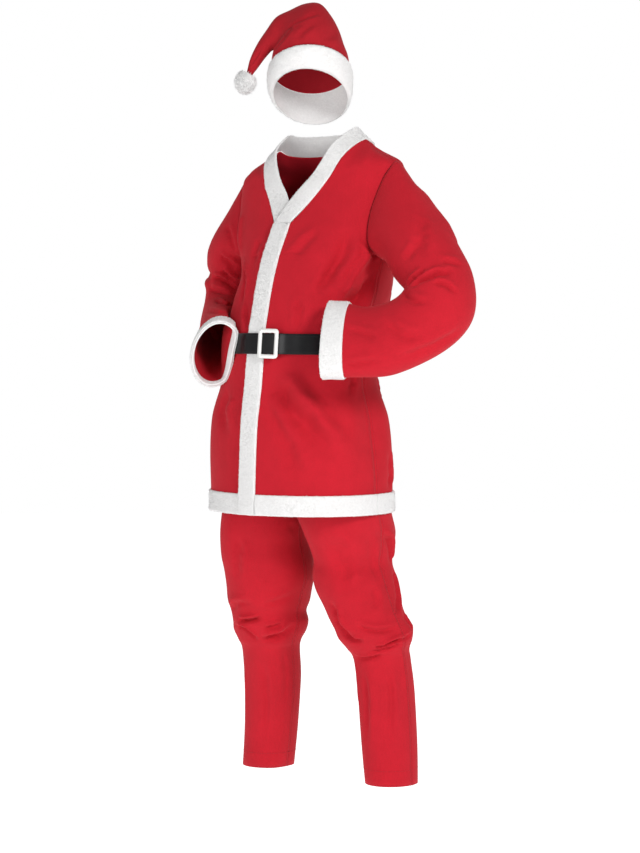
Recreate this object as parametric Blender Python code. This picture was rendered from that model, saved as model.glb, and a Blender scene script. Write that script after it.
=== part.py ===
"""Santa suit on an unseen standing wearer: hat, jacket with sleeves, belt and trousers.

Metres, +Z up. +X is the wearer's left and -Y the front. Heights in the tables are above the
soles; one empty lowers every piece so that the origin lies at the neck, where the suit is held.
"""
import math

import bmesh
import bpy
import numpy as np
from mathutils import Matrix, Vector

# How high the neck, where the wearer carries the suit, is above the soles.
NECK_HEIGHT = 1.50

# Cloth and seams.
CLOTH = 0.0015            # felt of the panels
TRIM = 0.0018             # white plush bands
LAYER_GAP = 0.0005        # air between a panel and what lies on it
SEAM_GAP = 0.0003         # air between two panels at a seam
BAND_WIDTH = 0.047        # front bands, edge to edge
BELT_THICKNESS = 0.0023
STRAP_GAP = 0.0006        # air between the jacket and the belt

# Jacket, heights above the soles.
HEM = 0.716
HEM_BAND_TOP = 0.761
BELT_BOTTOM = 1.0625
BELT_TOP = 1.107
UNDERARM = 1.270
NECK_POINT = 1.522        # where neckline and shoulder seam meet
SHOULDER_TIP = 1.470      # where shoulder seam and sleeve meet
V_BOTTOM = 1.345          # lowest point of the neckline
BACK_NECK = 1.505
SHOULDER_TILT = 0.070     # the left shoulder is carried higher
SHOULDER_TWIST = 0.070    # and further back than the right one
FULLNESS = 0.020          # how much the sections are squarer than an ellipse

# Counts of the grid that every jacket panel is made on.
BAND_COLUMNS = 3
NECKLINE_COLUMNS = 4
SHOULDER_COLUMNS = 5
BACK_NECK_COLUMNS = 5
ARMHOLE_ROWS = 10


class Table:
    """Rows with named columns, read between the rows along smooth curves."""

    def __init__(self, columns, rows):
        self.columns = columns.split()[1:]
        data = np.array(sorted(rows), float)
        self.keys = data[:, 0]
        self.values = data[:, 1:]
        rise = np.diff(self.values, axis=0) / np.diff(self.keys)[:, None]
        before, after = rise[:-1], rise[1:]
        same_way = before * after > 0
        mean = 2 * before * after / np.where(same_way, before + after, 1)
        inner = np.where(same_way, mean, 0)
        self.slopes = np.vstack([rise[:1], inner, rise[-1:]])

    def at(self, key):
        key = np.clip(np.asarray(key, float), self.keys[0], self.keys[-1])
        low = np.clip(np.searchsorted(self.keys, key) - 1, 0, len(self.keys) - 2)
        span = self.keys[low + 1] - self.keys[low]
        part = ((key - self.keys[low]) / span)[..., None]
        span = span[..., None]
        start, end = self.values[low], self.values[low + 1]
        start_slope, end_slope = self.slopes[low] * span, self.slopes[low + 1] * span
        bend = part * (1 - part)
        level = start + (end - start) * part * part * (3 - 2 * part)
        value = level + bend * (1 - part) * start_slope - bend * part * end_slope
        return dict(zip(self.columns, np.moveaxis(value, -1, 0)))


JACKET = Table(
    "height half_width front back",
    (
        (0.700, 0.2130, -0.236, 0.124),
        (0.800, 0.2100, -0.235, 0.120),
        (0.885, 0.2030, -0.231, 0.113),
        (0.935, 0.1975, -0.225, 0.105),
        (0.965, 0.1880, -0.219, 0.098),
        (1.000, 0.1790, -0.213, 0.092),
        (1.0625, 0.1750, -0.206, 0.089),
        (1.107, 0.1755, -0.202, 0.091),
        (1.150, 0.1810, -0.192, 0.103),
        (1.210, 0.1880, -0.178, 0.118),
        (1.270, 0.1930, -0.158, 0.127),
        (1.330, 0.2000, -0.128, 0.127),
        (1.390, 0.2050, -0.098, 0.122),
        (1.430, 0.2080, -0.083, 0.114),
        (1.455, 0.2060, -0.075, 0.106),
        (1.470, 0.1980, -0.070, 0.101),
        (1.482, 0.1780, -0.067, 0.096),
        (1.497, 0.1470, -0.063, 0.091),
        (1.522, 0.1170, -0.059, 0.083),
        (1.545, 0.0920, -0.056, 0.077),
        (1.575, 0.0760, -0.054, 0.073),
    ),
)

# Soft folds of the jacket: where each runs round the body (degrees, 0 front, 90 the wearer's
# left), how far it leans from foot to top, its heights, half its width and its depth in metres.
JACKET_FOLD_COLUMNS = "angle lean bottom top half_width depth".split()
JACKET_FOLDS = (
    (24, -6, 0.720, 1.050, 11, 0.0040),
    (44, 5, 0.800, 1.050, 10, -0.0050),
    (66, 4, 0.720, 1.045, 11, 0.0055),
    (88, -4, 0.760, 1.050, 10, -0.0060),
    (112, 6, 0.720, 1.045, 12, 0.0060),
    (136, -5, 0.780, 1.050, 11, -0.0050),
    (160, 4, 0.720, 1.050, 12, 0.0055),
    (187, -4, 0.760, 1.050, 11, -0.0050),
    (212, 5, 0.720, 1.045, 12, 0.0055),
    (238, -6, 0.780, 1.050, 11, -0.0055),
    (262, 4, 0.720, 1.045, 11, 0.0050),
    (286, -5, 0.760, 1.050, 10, -0.0045),
    (312, 5, 0.720, 1.050, 12, 0.0040),
    (36, 12, 1.118, 1.240, 10, 0.0050),
    (58, 10, 1.118, 1.270, 10, -0.0050),
    (80, 4, 1.118, 1.230, 10, 0.0050),
    (128, -6, 1.118, 1.260, 12, 0.0060),
    (152, -3, 1.118, 1.300, 11, -0.0060),
    (182, 2, 1.118, 1.260, 12, 0.0060),
    (210, 4, 1.118, 1.300, 11, -0.0055),
    (236, 6, 1.118, 1.260, 12, 0.0060),
    (299, 0, 1.112, 1.345, 24, -0.0250),
    (318, -8, 1.118, 1.250, 11, 0.0045),
)

# Lines on the jacket, as angles from the front and heights.
NECKLINE = ((6.5, 1.345), (11.5, 1.375), (16.5, 1.395), (23, 1.43), (28.3, 1.46), (42, 1.49),
            (61, 1.510), (90, 1.522))
COLLAR_EDGE = ((-6.5, 1.345), (-2, 1.378), (2.7, 1.407), (7.6, 1.427), (13.4, 1.457),
               (28.5, 1.500), (52, 1.535), (90, 1.552))
ARMHOLE_FRONT = ((90, 1.270), (75, 1.283), (65, 1.320), (62, 1.370), (65, 1.420), (73, 1.452),
                 (90, 1.470))
ARMHOLE_BACK = ((90, 1.270), (103, 1.283), (112, 1.320), (115, 1.370), (113, 1.420),
                (106, 1.452), (90, 1.470))
COLLAR_BACK = 1.548
SHOULDER_SEAM = ((90, NECK_POINT), (90, 1.497), (90, 1.482), (90, SHOULDER_TIP))

JACKET_HEIGHTS = (HEM, 0.7385, HEM_BAND_TOP, 0.800, 0.840, 0.885, 0.925, 0.955, 0.985, 1.020,
                  BELT_BOTTOM, BELT_TOP, 1.150, 1.190, 1.230, UNDERARM)

# How far the left front, lapped over the right one, stands out (metres along x).
LAP_RISE = CLOTH + 2 * LAYER_GAP + TRIM
LAP_FULL = 0.030
LAP_END = 0.066
LAP_HEIGHT_FULL = 1.395
LAP_HEIGHT_END = 1.450


def smooth_step(value, start, end):
    part = np.clip((np.asarray(value, float) - start) / (end - start), 0, 1)
    return part * part * (3 - 2 * part)


def bump(value, half_width):
    """A soft hill of height 1 over a width of two half widths."""
    part = np.clip(np.abs(value) / half_width, 0, 1)
    return (1 + np.cos(math.pi * part)) / 2


def normalized(vectors):
    return vectors / np.linalg.norm(vectors, axis=-1, keepdims=True)


# ---------------------------------------------------------------- jacket surface


def jacket_fold(angle, height):
    """How far the folds push the cloth out at an angle in radians and a height."""
    degrees = np.degrees(angle) % 360
    total = np.zeros(np.broadcast(angle, height).shape)
    for row in JACKET_FOLDS:
        fold = dict(zip(JACKET_FOLD_COLUMNS, row))
        middle = (fold["bottom"] + fold["top"]) / 2
        reach = (fold["top"] - fold["bottom"]) / 2
        part = (height - middle) / reach
        line = fold["angle"] + fold["lean"] * part
        away = (degrees - line + 180) % 360 - 180
        total = total + fold["depth"] * bump(away, fold["half_width"] * 2) * bump(part, 1)
    return total


def jacket_point(angle, height):
    """The point of the jacket's outer face at an angle in radians and a height."""
    row = JACKET.at(height)
    middle = (row["front"] + row["back"]) / 2
    half_depth = (row["back"] - row["front"]) / 2
    full = 1 + FULLNESS * np.sin(2 * angle) ** 2
    fold = jacket_fold(angle, height)
    x = (row["half_width"] * full + fold) * np.sin(angle)
    y = middle - (half_depth * full + fold) * np.cos(angle)
    lift = smooth_step(height, 1.20, 1.46)
    return np.stack([x, y + SHOULDER_TWIST * lift * x, height + SHOULDER_TILT * lift * x], -1)


def jacket_normal(angle, height):
    """The outward direction of the jacket at an angle and a height."""
    turn, climb = math.radians(0.4), 0.0008
    along = jacket_point(angle + turn, height) - jacket_point(angle - turn, height)
    upward = jacket_point(angle, height + climb) - jacket_point(angle, height - climb)
    return normalized(np.cross(along, upward))


def angle_at(x, height):
    return np.arcsin(x / JACKET.at(height)["half_width"])


def lap_rise(points):
    """How far the left front stands out from the body at these points."""
    sideways = 1 - smooth_step(points[..., 0], LAP_FULL, LAP_END)
    upward = 1 - smooth_step(points[..., 2], LAP_HEIGHT_FULL, LAP_HEIGHT_END)
    return LAP_RISE * sideways * upward


def even_line(line, count, smooth=40):
    """A line of angles and heights, taken at evenly spaced points on the jacket."""
    corners = np.array(line, float)
    table = Table("step angle height", [(i, *corner) for i, corner in enumerate(corners)])
    steps = np.linspace(0, len(corners) - 1, smooth * count + 1)
    row = table.at(steps)
    points = jacket_point(np.radians(row["angle"]), row["height"])
    length = np.concatenate([[0], np.cumsum(np.linalg.norm(np.diff(points, axis=0), axis=1))])
    chosen = np.interp(np.linspace(0, length[-1], count + 1), length, steps)
    row = table.at(chosen)
    return np.stack([np.radians(row["angle"]), row["height"]], -1)


def plain_point(angle, height):
    """The point at an angle and a height without folds, tilt and twist."""
    row = JACKET.at(height)
    middle, half_depth = (row["front"] + row["back"]) / 2, (row["back"] - row["front"]) / 2
    x, y = row["half_width"] * np.sin(angle), middle - half_depth * np.cos(angle)
    return np.stack(np.broadcast_arrays(x, y, height), -1)


def place_of(x, y, height):
    """The angle of a plain point, and how far out it is: 1 on the plain section."""
    row = JACKET.at(height)
    middle, half_depth = (row["front"] + row["back"]) / 2, (row["back"] - row["front"]) / 2
    sideways, forwards = x / row["half_width"], (middle - y) / half_depth
    return np.arctan2(sideways, forwards), np.hypot(sideways, forwards)


def blend_patch(bottom, top, left, right):
    """Fills the grid between four border lines of angles and heights."""
    bottom, top, left, right = (plain_point(*line.T) for line in (bottom, top, left, right))
    rows, columns = len(left), len(bottom)
    across = np.linspace(0, 1, columns)[None, :, None]
    upward = np.linspace(0, 1, rows)[:, None, None]
    from_rows = (1 - upward) * bottom[None] + upward * top[None]
    from_columns = (1 - across) * left[:, None] + across * right[:, None]
    corners = ((1 - upward) * (1 - across) * bottom[0] + (1 - upward) * across * bottom[-1]
               + upward * (1 - across) * top[0] + upward * across * top[-1])
    x, y, height = np.moveaxis(from_rows + from_columns - corners, -1, 0)
    return np.stack([place_of(x, y, height)[0], height], -1)


def band_lines(heights):
    """Angles of the front band's columns at these heights, from the free edge inwards."""
    lines = np.linspace(-BAND_WIDTH / 2, BAND_WIDTH / 2, BAND_COLUMNS + 1)
    return angle_at(lines[None, :], np.asarray(heights)[:, None])


def front_grid():
    """Angles and heights of one front, from its free edge to the side seam and armhole."""
    rest = NECKLINE_COLUMNS + SHOULDER_COLUMNS
    heights = np.array(JACKET_HEIGHTS)
    bands = band_lines(heights)
    to_side = np.linspace(0, 1, rest + 1)[1:]
    side = bands[:, -1:] + (math.pi / 2 - bands[:, -1:]) * to_side
    lower = np.stack(np.broadcast_arrays(np.hstack([bands, side]), heights[:, None]), -1)
    bottom = lower[-1]
    rise = np.linspace(UNDERARM, V_BOTTOM, ARMHOLE_ROWS + 1)
    bands = band_lines(rise)
    bands = np.stack(np.broadcast_arrays(bands, rise[:, None]), -1)
    neckline = even_line(NECKLINE, NECKLINE_COLUMNS)
    neckline[0] = bands[-1, -1]
    shoulder = even_line(SHOULDER_SEAM, SHOULDER_COLUMNS)
    top = np.vstack([neckline[:-1], shoulder])
    upper = blend_patch(lower[-1, BAND_COLUMNS:], top, bands[:, -1],
                        even_line(ARMHOLE_FRONT, ARMHOLE_ROWS))
    upper = np.hstack([bands[:, :-1], upper])
    return np.concatenate([lower, upper[1:]])


def half_back_grid():
    """Angles and heights of half the back, from the side seam to the centre."""
    columns = SHOULDER_COLUMNS + BACK_NECK_COLUMNS
    heights = np.array(JACKET_HEIGHTS)
    angles = np.linspace(math.pi / 2, math.pi, columns + 1)
    lower = np.stack(np.broadcast_arrays(angles[None, :], heights[:, None]), -1)
    rise = np.linspace(UNDERARM, BACK_NECK, ARMHOLE_ROWS + 1)
    centre = np.stack([np.full(len(rise), math.pi), rise], -1)
    neck = ((90, NECK_POINT), (118, 1.512), (148, 1.506), (180, BACK_NECK))
    top = np.vstack([even_line(SHOULDER_SEAM, SHOULDER_COLUMNS)[:0:-1],
                     even_line(neck, BACK_NECK_COLUMNS)])
    upper = blend_patch(lower[-1], top, even_line(ARMHOLE_BACK, ARMHOLE_ROWS), centre)
    return np.concatenate([lower, upper[1:]])


class Cloth:
    """A grid of points with the outward direction at each, cut into pieces and walls."""

    def __init__(self, points, normals, rise=0.0):
        self.points = points
        self.normals = normals
        self.rise = np.broadcast_to(rise, points.shape[:2])

    @classmethod
    def on_jacket(cls, grid, side=1, lapped=False):
        points = jacket_point(side * grid[..., 0], grid[..., 1])
        normals = jacket_normal(side * grid[..., 0], grid[..., 1])
        return cls(points, normals, lap_rise(points) if lapped else 0.0)

    def cut(self, rows=slice(None), columns=slice(None)):
        return Cloth(self.points[rows, columns], self.normals[rows, columns],
                     self.rise[rows, columns])

    def joined(self, other):
        return Cloth(np.hstack([self.points, other.points]), np.hstack([self.normals, other.normals]),
                     np.hstack([self.rise, other.rise]))

    def trimmed(self, amount=SEAM_GAP / 2, rows=True, columns=True):
        """The same cloth with its borders drawn in, so that seams keep clear."""
        points = self.points.copy()
        if columns:
            for edge, inner in ((0, 1), (-1, -2)):
                points[:, edge] += amount * normalized(self.points[:, inner] - self.points[:, edge])
        if rows:
            for edge, inner in ((0, 1), (-1, -2)):
                points[edge] += amount * normalized(self.points[inner] - self.points[edge])
        return Cloth(points, self.normals, self.rise)

    def layer(self, height):
        height = np.asarray(self.rise + height)
        return self.points + self.normals * height[..., None]


def grid_normals(points, closed):
    """Outward directions of a grid whose columns run round it and whose rows run along it."""
    if closed:
        around = np.roll(points, -1, axis=1) - np.roll(points, 1, axis=1)
    else:
        around = np.gradient(points, axis=1)
    along = np.gradient(points, axis=0)
    return normalized(np.cross(around, along))


# ---------------------------------------------------------------- building meshes

FELT = ("red_felt", (0.56, 0.012, 0.022), 0.9)
PLUSH = ("white_plush", (0.83, 0.82, 0.80), 0.95)
VINYL = ("black_vinyl", (0.012, 0.012, 0.013), 0.25)
PLASTIC = ("white_plastic", (0.82, 0.82, 0.80), 0.35)


def material(name, finish):
    label, colour, roughness = finish
    result = bpy.data.materials.new(f"{name}_{label}")
    result.use_nodes = True
    shader = result.node_tree.nodes["Principled BSDF"]
    shader.inputs["Base Color"].default_value = (*colour, 1)
    shader.inputs["Roughness"].default_value = roughness
    shader.inputs["Metallic"].default_value = 0
    return result


def add_object(name, mesh, finish, parent):
    for polygon in mesh.polygons:
        polygon.use_smooth = True
    mesh.set_sharp_from_angle(angle=math.radians(50))
    mesh.materials.append(material(name, finish))
    piece = bpy.data.objects.new(name, mesh)
    bpy.context.collection.objects.link(piece)
    piece.parent = parent
    return piece


def add_wall(name, cloth, inner, outer, finish, parent, closed=False):
    """A closed wall between two layers of a cloth grid."""
    out_points, in_points = cloth.layer(outer), cloth.layer(inner)
    rows, columns = out_points.shape[:2]
    sides = np.cross(out_points[1:, 1:] - out_points[:-1, :-1], out_points[1:, :-1] - out_points[:-1, 1:])
    if np.sum(sides * cloth.normals[:-1, :-1]) < 0:
        out_points, in_points = out_points[:, ::-1], in_points[:, ::-1]
    points = np.vstack([out_points.reshape(-1, 3), in_points.reshape(-1, 3)])
    behind = rows * columns
    steps = columns if closed else columns - 1
    faces = []
    for r in range(rows - 1):
        for c in range(steps):
            corner = r * columns + c
            right = r * columns + (c + 1) % columns
            above, above_right = corner + columns, right + columns
            faces += [(corner, right, above_right), (corner, above_right, above)]
            faces += [(behind + corner, behind + above_right, behind + right),
                      (behind + corner, behind + above, behind + above_right)]
    for c in range(steps):
        low, low_next = c, (c + 1) % columns
        faces += [(low_next, low, behind + low), (low_next, behind + low, behind + low_next)]
        high, high_next = low + (rows - 1) * columns, low_next + (rows - 1) * columns
        faces += [(high, high_next, behind + high_next), (high, behind + high_next, behind + high)]
    if not closed:
        for r in range(rows - 1):
            low, high = r * columns, (r + 1) * columns
            faces += [(low, high, behind + high), (low, behind + high, behind + low)]
            low, high = low + columns - 1, high + columns - 1
            faces += [(high, low, behind + low), (high, behind + low, behind + high)]
    mesh = bpy.data.meshes.new(name)
    mesh.from_pydata(points.tolist(), [], faces)
    return add_object(name, mesh, finish, parent)


# ---------------------------------------------------------------- jacket


def add_jacket(parent):
    """Fronts, back and the white bands on them; returns the cloth that sleeves and belt need."""
    hem_rows = slice(0, JACKET_HEIGHTS.index(HEM_BAND_TOP) + 1)
    band_columns = slice(0, BAND_COLUMNS + 1)
    hem_columns = slice(BAND_COLUMNS, None)
    on_top = LAYER_GAP, LAYER_GAP + TRIM
    fronts = {}
    for name, side in (("left", 1), ("right", -1)):
        front = Cloth.on_jacket(front_grid(), side, lapped=side > 0)
        fronts[name] = front
        add_wall(f"jacket_front_{name}", front.trimmed(), -CLOTH, 0, FELT, parent)
        add_wall(f"placket_{name}", front.cut(columns=band_columns).trimmed(), *on_top, PLUSH, parent)
        hem = front.cut(hem_rows, hem_columns)
        add_wall(f"hem_band_{name}", hem.trimmed(), *on_top, PLUSH, parent)
    left_half = Cloth.on_jacket(half_back_grid(), 1)
    right_half = Cloth.on_jacket(half_back_grid(), -1)
    right_half = right_half.cut(columns=slice(None, None, -1))
    back = left_half.joined(right_half.cut(columns=slice(1, None)))
    add_wall("jacket_back", back.trimmed(), -CLOTH, 0, FELT, parent)
    add_wall("hem_band_back", back.cut(hem_rows).trimmed(), *on_top, PLUSH, parent)
    add_collar(parent)
    return fronts, back


def collar_half(side):
    """Half of the collar: its rows run across it and its columns along the neckline."""
    seam_front = even_line(NECKLINE, NECKLINE_COLUMNS)
    edge_front = even_line(COLLAR_EDGE, NECKLINE_COLUMNS)
    seam_back = even_line(((90, NECK_POINT), (118, 1.512), (148, 1.506), (180, BACK_NECK)),
                          BACK_NECK_COLUMNS)
    edge_back = even_line(((90, 1.552), (120, 1.550), (150, 1.549), (180, COLLAR_BACK)),
                          BACK_NECK_COLUMNS)
    seam = np.vstack([seam_front, seam_back[1:]])
    edge = np.vstack([edge_front, edge_back[1:]])
    across = np.linspace(0, 1, BAND_COLUMNS + 1)[:, None, None]
    grid = seam[None] * (1 - across) + edge[None] * across
    return Cloth.on_jacket(grid, side, lapped=side > 0)


def add_collar(parent):
    left = collar_half(1)
    right = collar_half(-1).cut(columns=slice(None, None, -1))
    whole = left.joined(right.cut(columns=slice(1, None)))
    add_wall("collar", whole.trimmed(), -0.0008, 0.0018, PLUSH, parent)


# ---------------------------------------------------------------- sleeves

# How far the strap stands out from the jacket, by its place across the body.
BELT_STANDOFF = Table(
    "x away",
    (
        (-0.110, STRAP_GAP),
        (-0.050, 0.0040),
        (-0.0235, 0.0088),
        (0.000, 0.0104),
        (0.064, 0.0104),
        (0.092, 0.0050),
        (0.140, STRAP_GAP),
    ),
)

# Each arm lies in the plane of its upper arm and forearm. The rows cut it across: the end of
# the cut in the crook of the arm and the end on the outer side, each by its distance down the
# upper arm and its distance outwards from it, then half the width square to that plane.
SLEEVE_COLUMNS = "in_down in_out out_down out_out half_cross".split()
ARMS = {
    "left": {
        "shoulder": (0.205, 0.010, 1.395),
        "elbow": (0.376, -0.046, 1.174),
        "cuff": (0.177, -0.205, 1.082),
        "rows": (
            (0.045, -0.078, 0.030, 0.075, 0.088),
            (0.090, -0.072, 0.090, 0.078, 0.080),
            (0.135, -0.067, 0.145, 0.084, 0.076),
            (0.175, -0.064, 0.195, 0.088, 0.074),
            (0.205, -0.058, 0.245, 0.088, 0.073),
            (0.222, -0.057, 0.295, 0.076, 0.073),
            (0.231, -0.063, 0.336, 0.056, 0.073),
            (0.236, -0.073, 0.366, 0.026, 0.071),
            (0.239, -0.086, 0.386, -0.018, 0.069),
            (0.240, -0.103, 0.398, -0.068, 0.065),
            (0.236, -0.125, 0.401, -0.122, 0.060),
            (0.228, -0.150, 0.394, -0.174, 0.053),
            (0.208, -0.176, 0.363, -0.250, 0.047),
            (0.196, -0.195, 0.351, -0.272, 0.046),
            (0.184, -0.215, 0.339, -0.294, 0.045),
        ),
        "folds": (
            (2.0, 5.0, 250, 26, -0.004),
            (3.5, 8.0, 292, 24, -0.005),
            (4.2, 8.5, 330, 24, 0.004),
            (4.5, 8.5, 205, 24, -0.005),
            (6.0, 10.5, 262, 26, 0.004),
            (7.5, 11.5, 232, 24, -0.004),
            (7.0, 11.0, 120, 28, -0.004),
            (2.5, 6.0, 80, 28, 0.004),
        ),
    },
    "right": {
        "shoulder": (-0.220, 0.006, 1.385),
        "elbow": (-0.292, 0.012, 1.175),
        "cuff": (-0.090, -0.233, 1.074),
        "rows": (
            (0.035, -0.078, 0.030, 0.076, 0.076),
            (0.070, -0.074, 0.075, 0.078, 0.069),
            (0.105, -0.071, 0.118, 0.078, 0.062),
            (0.135, -0.069, 0.158, 0.076, 0.057),
            (0.155, -0.069, 0.198, 0.070, 0.052),
            (0.168, -0.075, 0.236, 0.056, 0.049),
            (0.176, -0.086, 0.268, 0.028, 0.047),
            (0.181, -0.102, 0.289, -0.014, 0.046),
            (0.184, -0.124, 0.300, -0.064, 0.045),
            (0.185, -0.156, 0.308, -0.118, 0.045),
            (0.186, -0.200, 0.316, -0.180, 0.046),
            (0.187, -0.250, 0.323, -0.240, 0.047),
            (0.188, -0.284, 0.328, -0.274, 0.048),
            (0.1885, -0.305, 0.3305, -0.295, 0.0485),
            (0.189, -0.326, 0.333, -0.316, 0.049),
        ),
        "folds": (
            (2.0, 5.5, 250, 26, -0.004),
            (4.0, 8.0, 292, 24, -0.005),
            (4.5, 8.5, 60, 26, -0.004),
            (5.5, 9.5, 210, 24, -0.005),
            (7.0, 11.0, 300, 26, 0.004),
            (7.5, 11.5, 110, 26, 0.004),
        ),
    },
}
SLEEVE_FOLD_COLUMNS = "start end angle half_width depth".split()
CUFF_ROWS = 2             # rows under the cuff band
SLEEVE_CLEARANCE = (0.0025, 0.0045, 0.0050, 0.0055)   # by row, least distance from the jacket
CUFF_TRIM = 0.0022
ARMHOLE_GAP = 0.0006      # how far outside the jacket the sleeve starts


def armhole_loop(front, back, back_column):
    """The armhole's points: from the underarm up the front edge and down the back edge."""
    first = len(JACKET_HEIGHTS) - 1
    up = front.points[first:, -1]
    down = back.points[first:, back_column][::-1]
    return np.vstack([up, down[1:-1]])


def keep_clear(points, gap):
    """Moves points sideways until they lie at least this far outside the jacket and belt."""
    lift = smooth_step(points[..., 2], 1.20, 1.46)
    x = points[..., 0]
    height = points[..., 2] - SHOULDER_TILT * lift * x
    y = points[..., 1] - SHOULDER_TWIST * lift * x
    angle = place_of(x, y, height)[0]
    surface = jacket_point(angle, height)
    row = JACKET.at(height)
    centre = np.stack([0 * x, (row["front"] + row["back"]) / 2 + SHOULDER_TWIST * lift * x], -1)
    outward = points[..., :2] - centre
    distance = np.linalg.norm(outward, axis=-1)
    belt = 1 - smooth_step(np.abs(height - (BELT_BOTTOM + BELT_TOP) / 2), 0.024, 0.046)
    away = BELT_STANDOFF.at(x)["away"] * (y < 0) + BELT_THICKNESS
    needed = np.linalg.norm(surface[..., :2] - centre, axis=-1) + gap + belt * away
    moved = points.copy()
    moved[..., :2] = centre + outward * (np.maximum(distance, needed) / distance)[..., None]
    return moved


def sleeve_cloth(arm, loop):
    shoulder, elbow, cuff = (np.array(arm[key]) for key in ("shoulder", "elbow", "cuff"))
    down = normalized(elbow - shoulder)
    forearm = normalized(cuff - elbow)
    outward = normalized(down * np.dot(forearm, down) - forearm)
    across = np.cross(down, outward)
    middle = loop.mean(axis=0)
    turns = np.arctan2((loop - middle) @ across, (loop - middle) @ outward)
    quarter = len(loop) // 4
    sense = np.sign(np.sin(turns[quarter] - turns[0]))
    angles = turns[0] + sense * np.linspace(0, 2 * math.pi, len(loop), endpoint=False)
    rings = [keep_clear(loop + down * SEAM_GAP, ARMHOLE_GAP)]
    blends = (0.35, 0.75)
    for number, row in enumerate(arm["rows"]):
        cut = dict(zip(SLEEVE_COLUMNS, row))
        crook = shoulder + down * cut["in_down"] + outward * cut["in_out"]
        outer = shoulder + down * cut["out_down"] + outward * cut["out_out"]
        centre, half = (crook + outer) / 2, (outer - crook) / 2
        length = np.linalg.norm(half)
        swell = 1 + sleeve_fold(arm["folds"], number + 1, angles) / length
        ring = (centre + np.outer(np.cos(angles) * swell, half)
                + np.outer(np.sin(angles) * swell * cut["half_cross"], across))
        if number < len(blends):
            moved = loop + down * (cut["in_down"] + cut["out_down"]) / 2
            ring = moved + (ring - moved) * blends[number]
        rings.append(keep_clear(ring, SLEEVE_CLEARANCE[min(number, len(SLEEVE_CLEARANCE) - 1)]))
    points = np.array(rings)
    normals = grid_normals(points, closed=True)
    outwards = points - points.mean(axis=1, keepdims=True)
    if np.sum(normals * outwards) < 0:
        normals = -normals
    return Cloth(points, normals)


def sleeve_fold(folds, row, angles):
    total = np.zeros(len(angles))
    degrees = np.degrees(angles) % 360
    for values in folds:
        fold = dict(zip(SLEEVE_FOLD_COLUMNS, values))
        middle = (fold["start"] + fold["end"]) / 2
        reach = (fold["end"] - fold["start"]) / 2
        away = (degrees - fold["angle"] + 180) % 360 - 180
        total += fold["depth"] * bump(away, 2 * fold["half_width"]) * bump(row - middle, reach)
    return total


def add_sleeve(name, arm, loop, parent):
    sleeve = sleeve_cloth(arm, loop)
    add_wall(f"sleeve_{name}", sleeve, -CLOTH, 0, FELT, parent, closed=True)
    cuff = sleeve.cut(rows=slice(-1 - CUFF_ROWS, None))
    add_wall(f"cuff_band_{name}", cuff, LAYER_GAP, LAYER_GAP + CUFF_TRIM, PLUSH, parent, closed=True)


# ---------------------------------------------------------------- belt

BUCKLE_CENTRE = 0.038
BUCKLE_WIDTH = 0.050
BUCKLE_HEIGHT = 0.064
BUCKLE_BAR = 0.0085
BUCKLE_THICKNESS = 0.0038
BUCKLE_CORNER = 0.0075
PRONG_BAR = 0.006         # the bar behind the strap
PRONG_BAR_THICKNESS = 0.0018


def add_belt(fronts, back, parent):
    """The strap runs round the outermost cloth at the belt's two rows."""
    rows = slice(JACKET_HEIGHTS.index(BELT_BOTTOM), JACKET_HEIGHTS.index(BELT_TOP) + 1)
    left = fronts["left"].cut(rows)
    behind = back.cut(rows, slice(1, None))
    right = fronts["right"].cut(rows, slice(-2, BAND_COLUMNS, -1))
    ring = left.joined(behind).joined(right)
    ring.rise = np.where(ring.points[..., 1] < 0, BELT_STANDOFF.at(ring.points[..., 0])["away"],
                         STRAP_GAP)
    add_wall("belt_strap", ring, 0, BELT_THICKNESS, VINYL, parent, closed=True)


def belt_line(x, part=0.5):
    """Points on the strap's outer face, part of the way from its lower to its upper edge."""
    edges = []
    for height in (BELT_BOTTOM, BELT_TOP):
        angle = angle_at(x, height)
        away = BELT_STANDOFF.at(x)["away"] + BELT_THICKNESS
        edges.append(jacket_point(angle, height) + jacket_normal(angle, height) * away[..., None])
    return edges[0] * (1 - part) + edges[1] * part


def rounded_rectangle(width, height, corner, steps=4):
    """Corner points of a rounded rectangle, counter-clockwise."""
    points = []
    for quarter in range(4):
        sign_x = (1, -1, -1, 1)[quarter]
        sign_y = (1, 1, -1, -1)[quarter]
        for step in range(steps + 1):
            turn = math.radians(90 * (quarter + step / steps))
            points.append((sign_x * (width / 2 - corner) + corner * math.cos(turn),
                           sign_y * (height / 2 - corner) + corner * math.sin(turn)))
    return points


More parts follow.
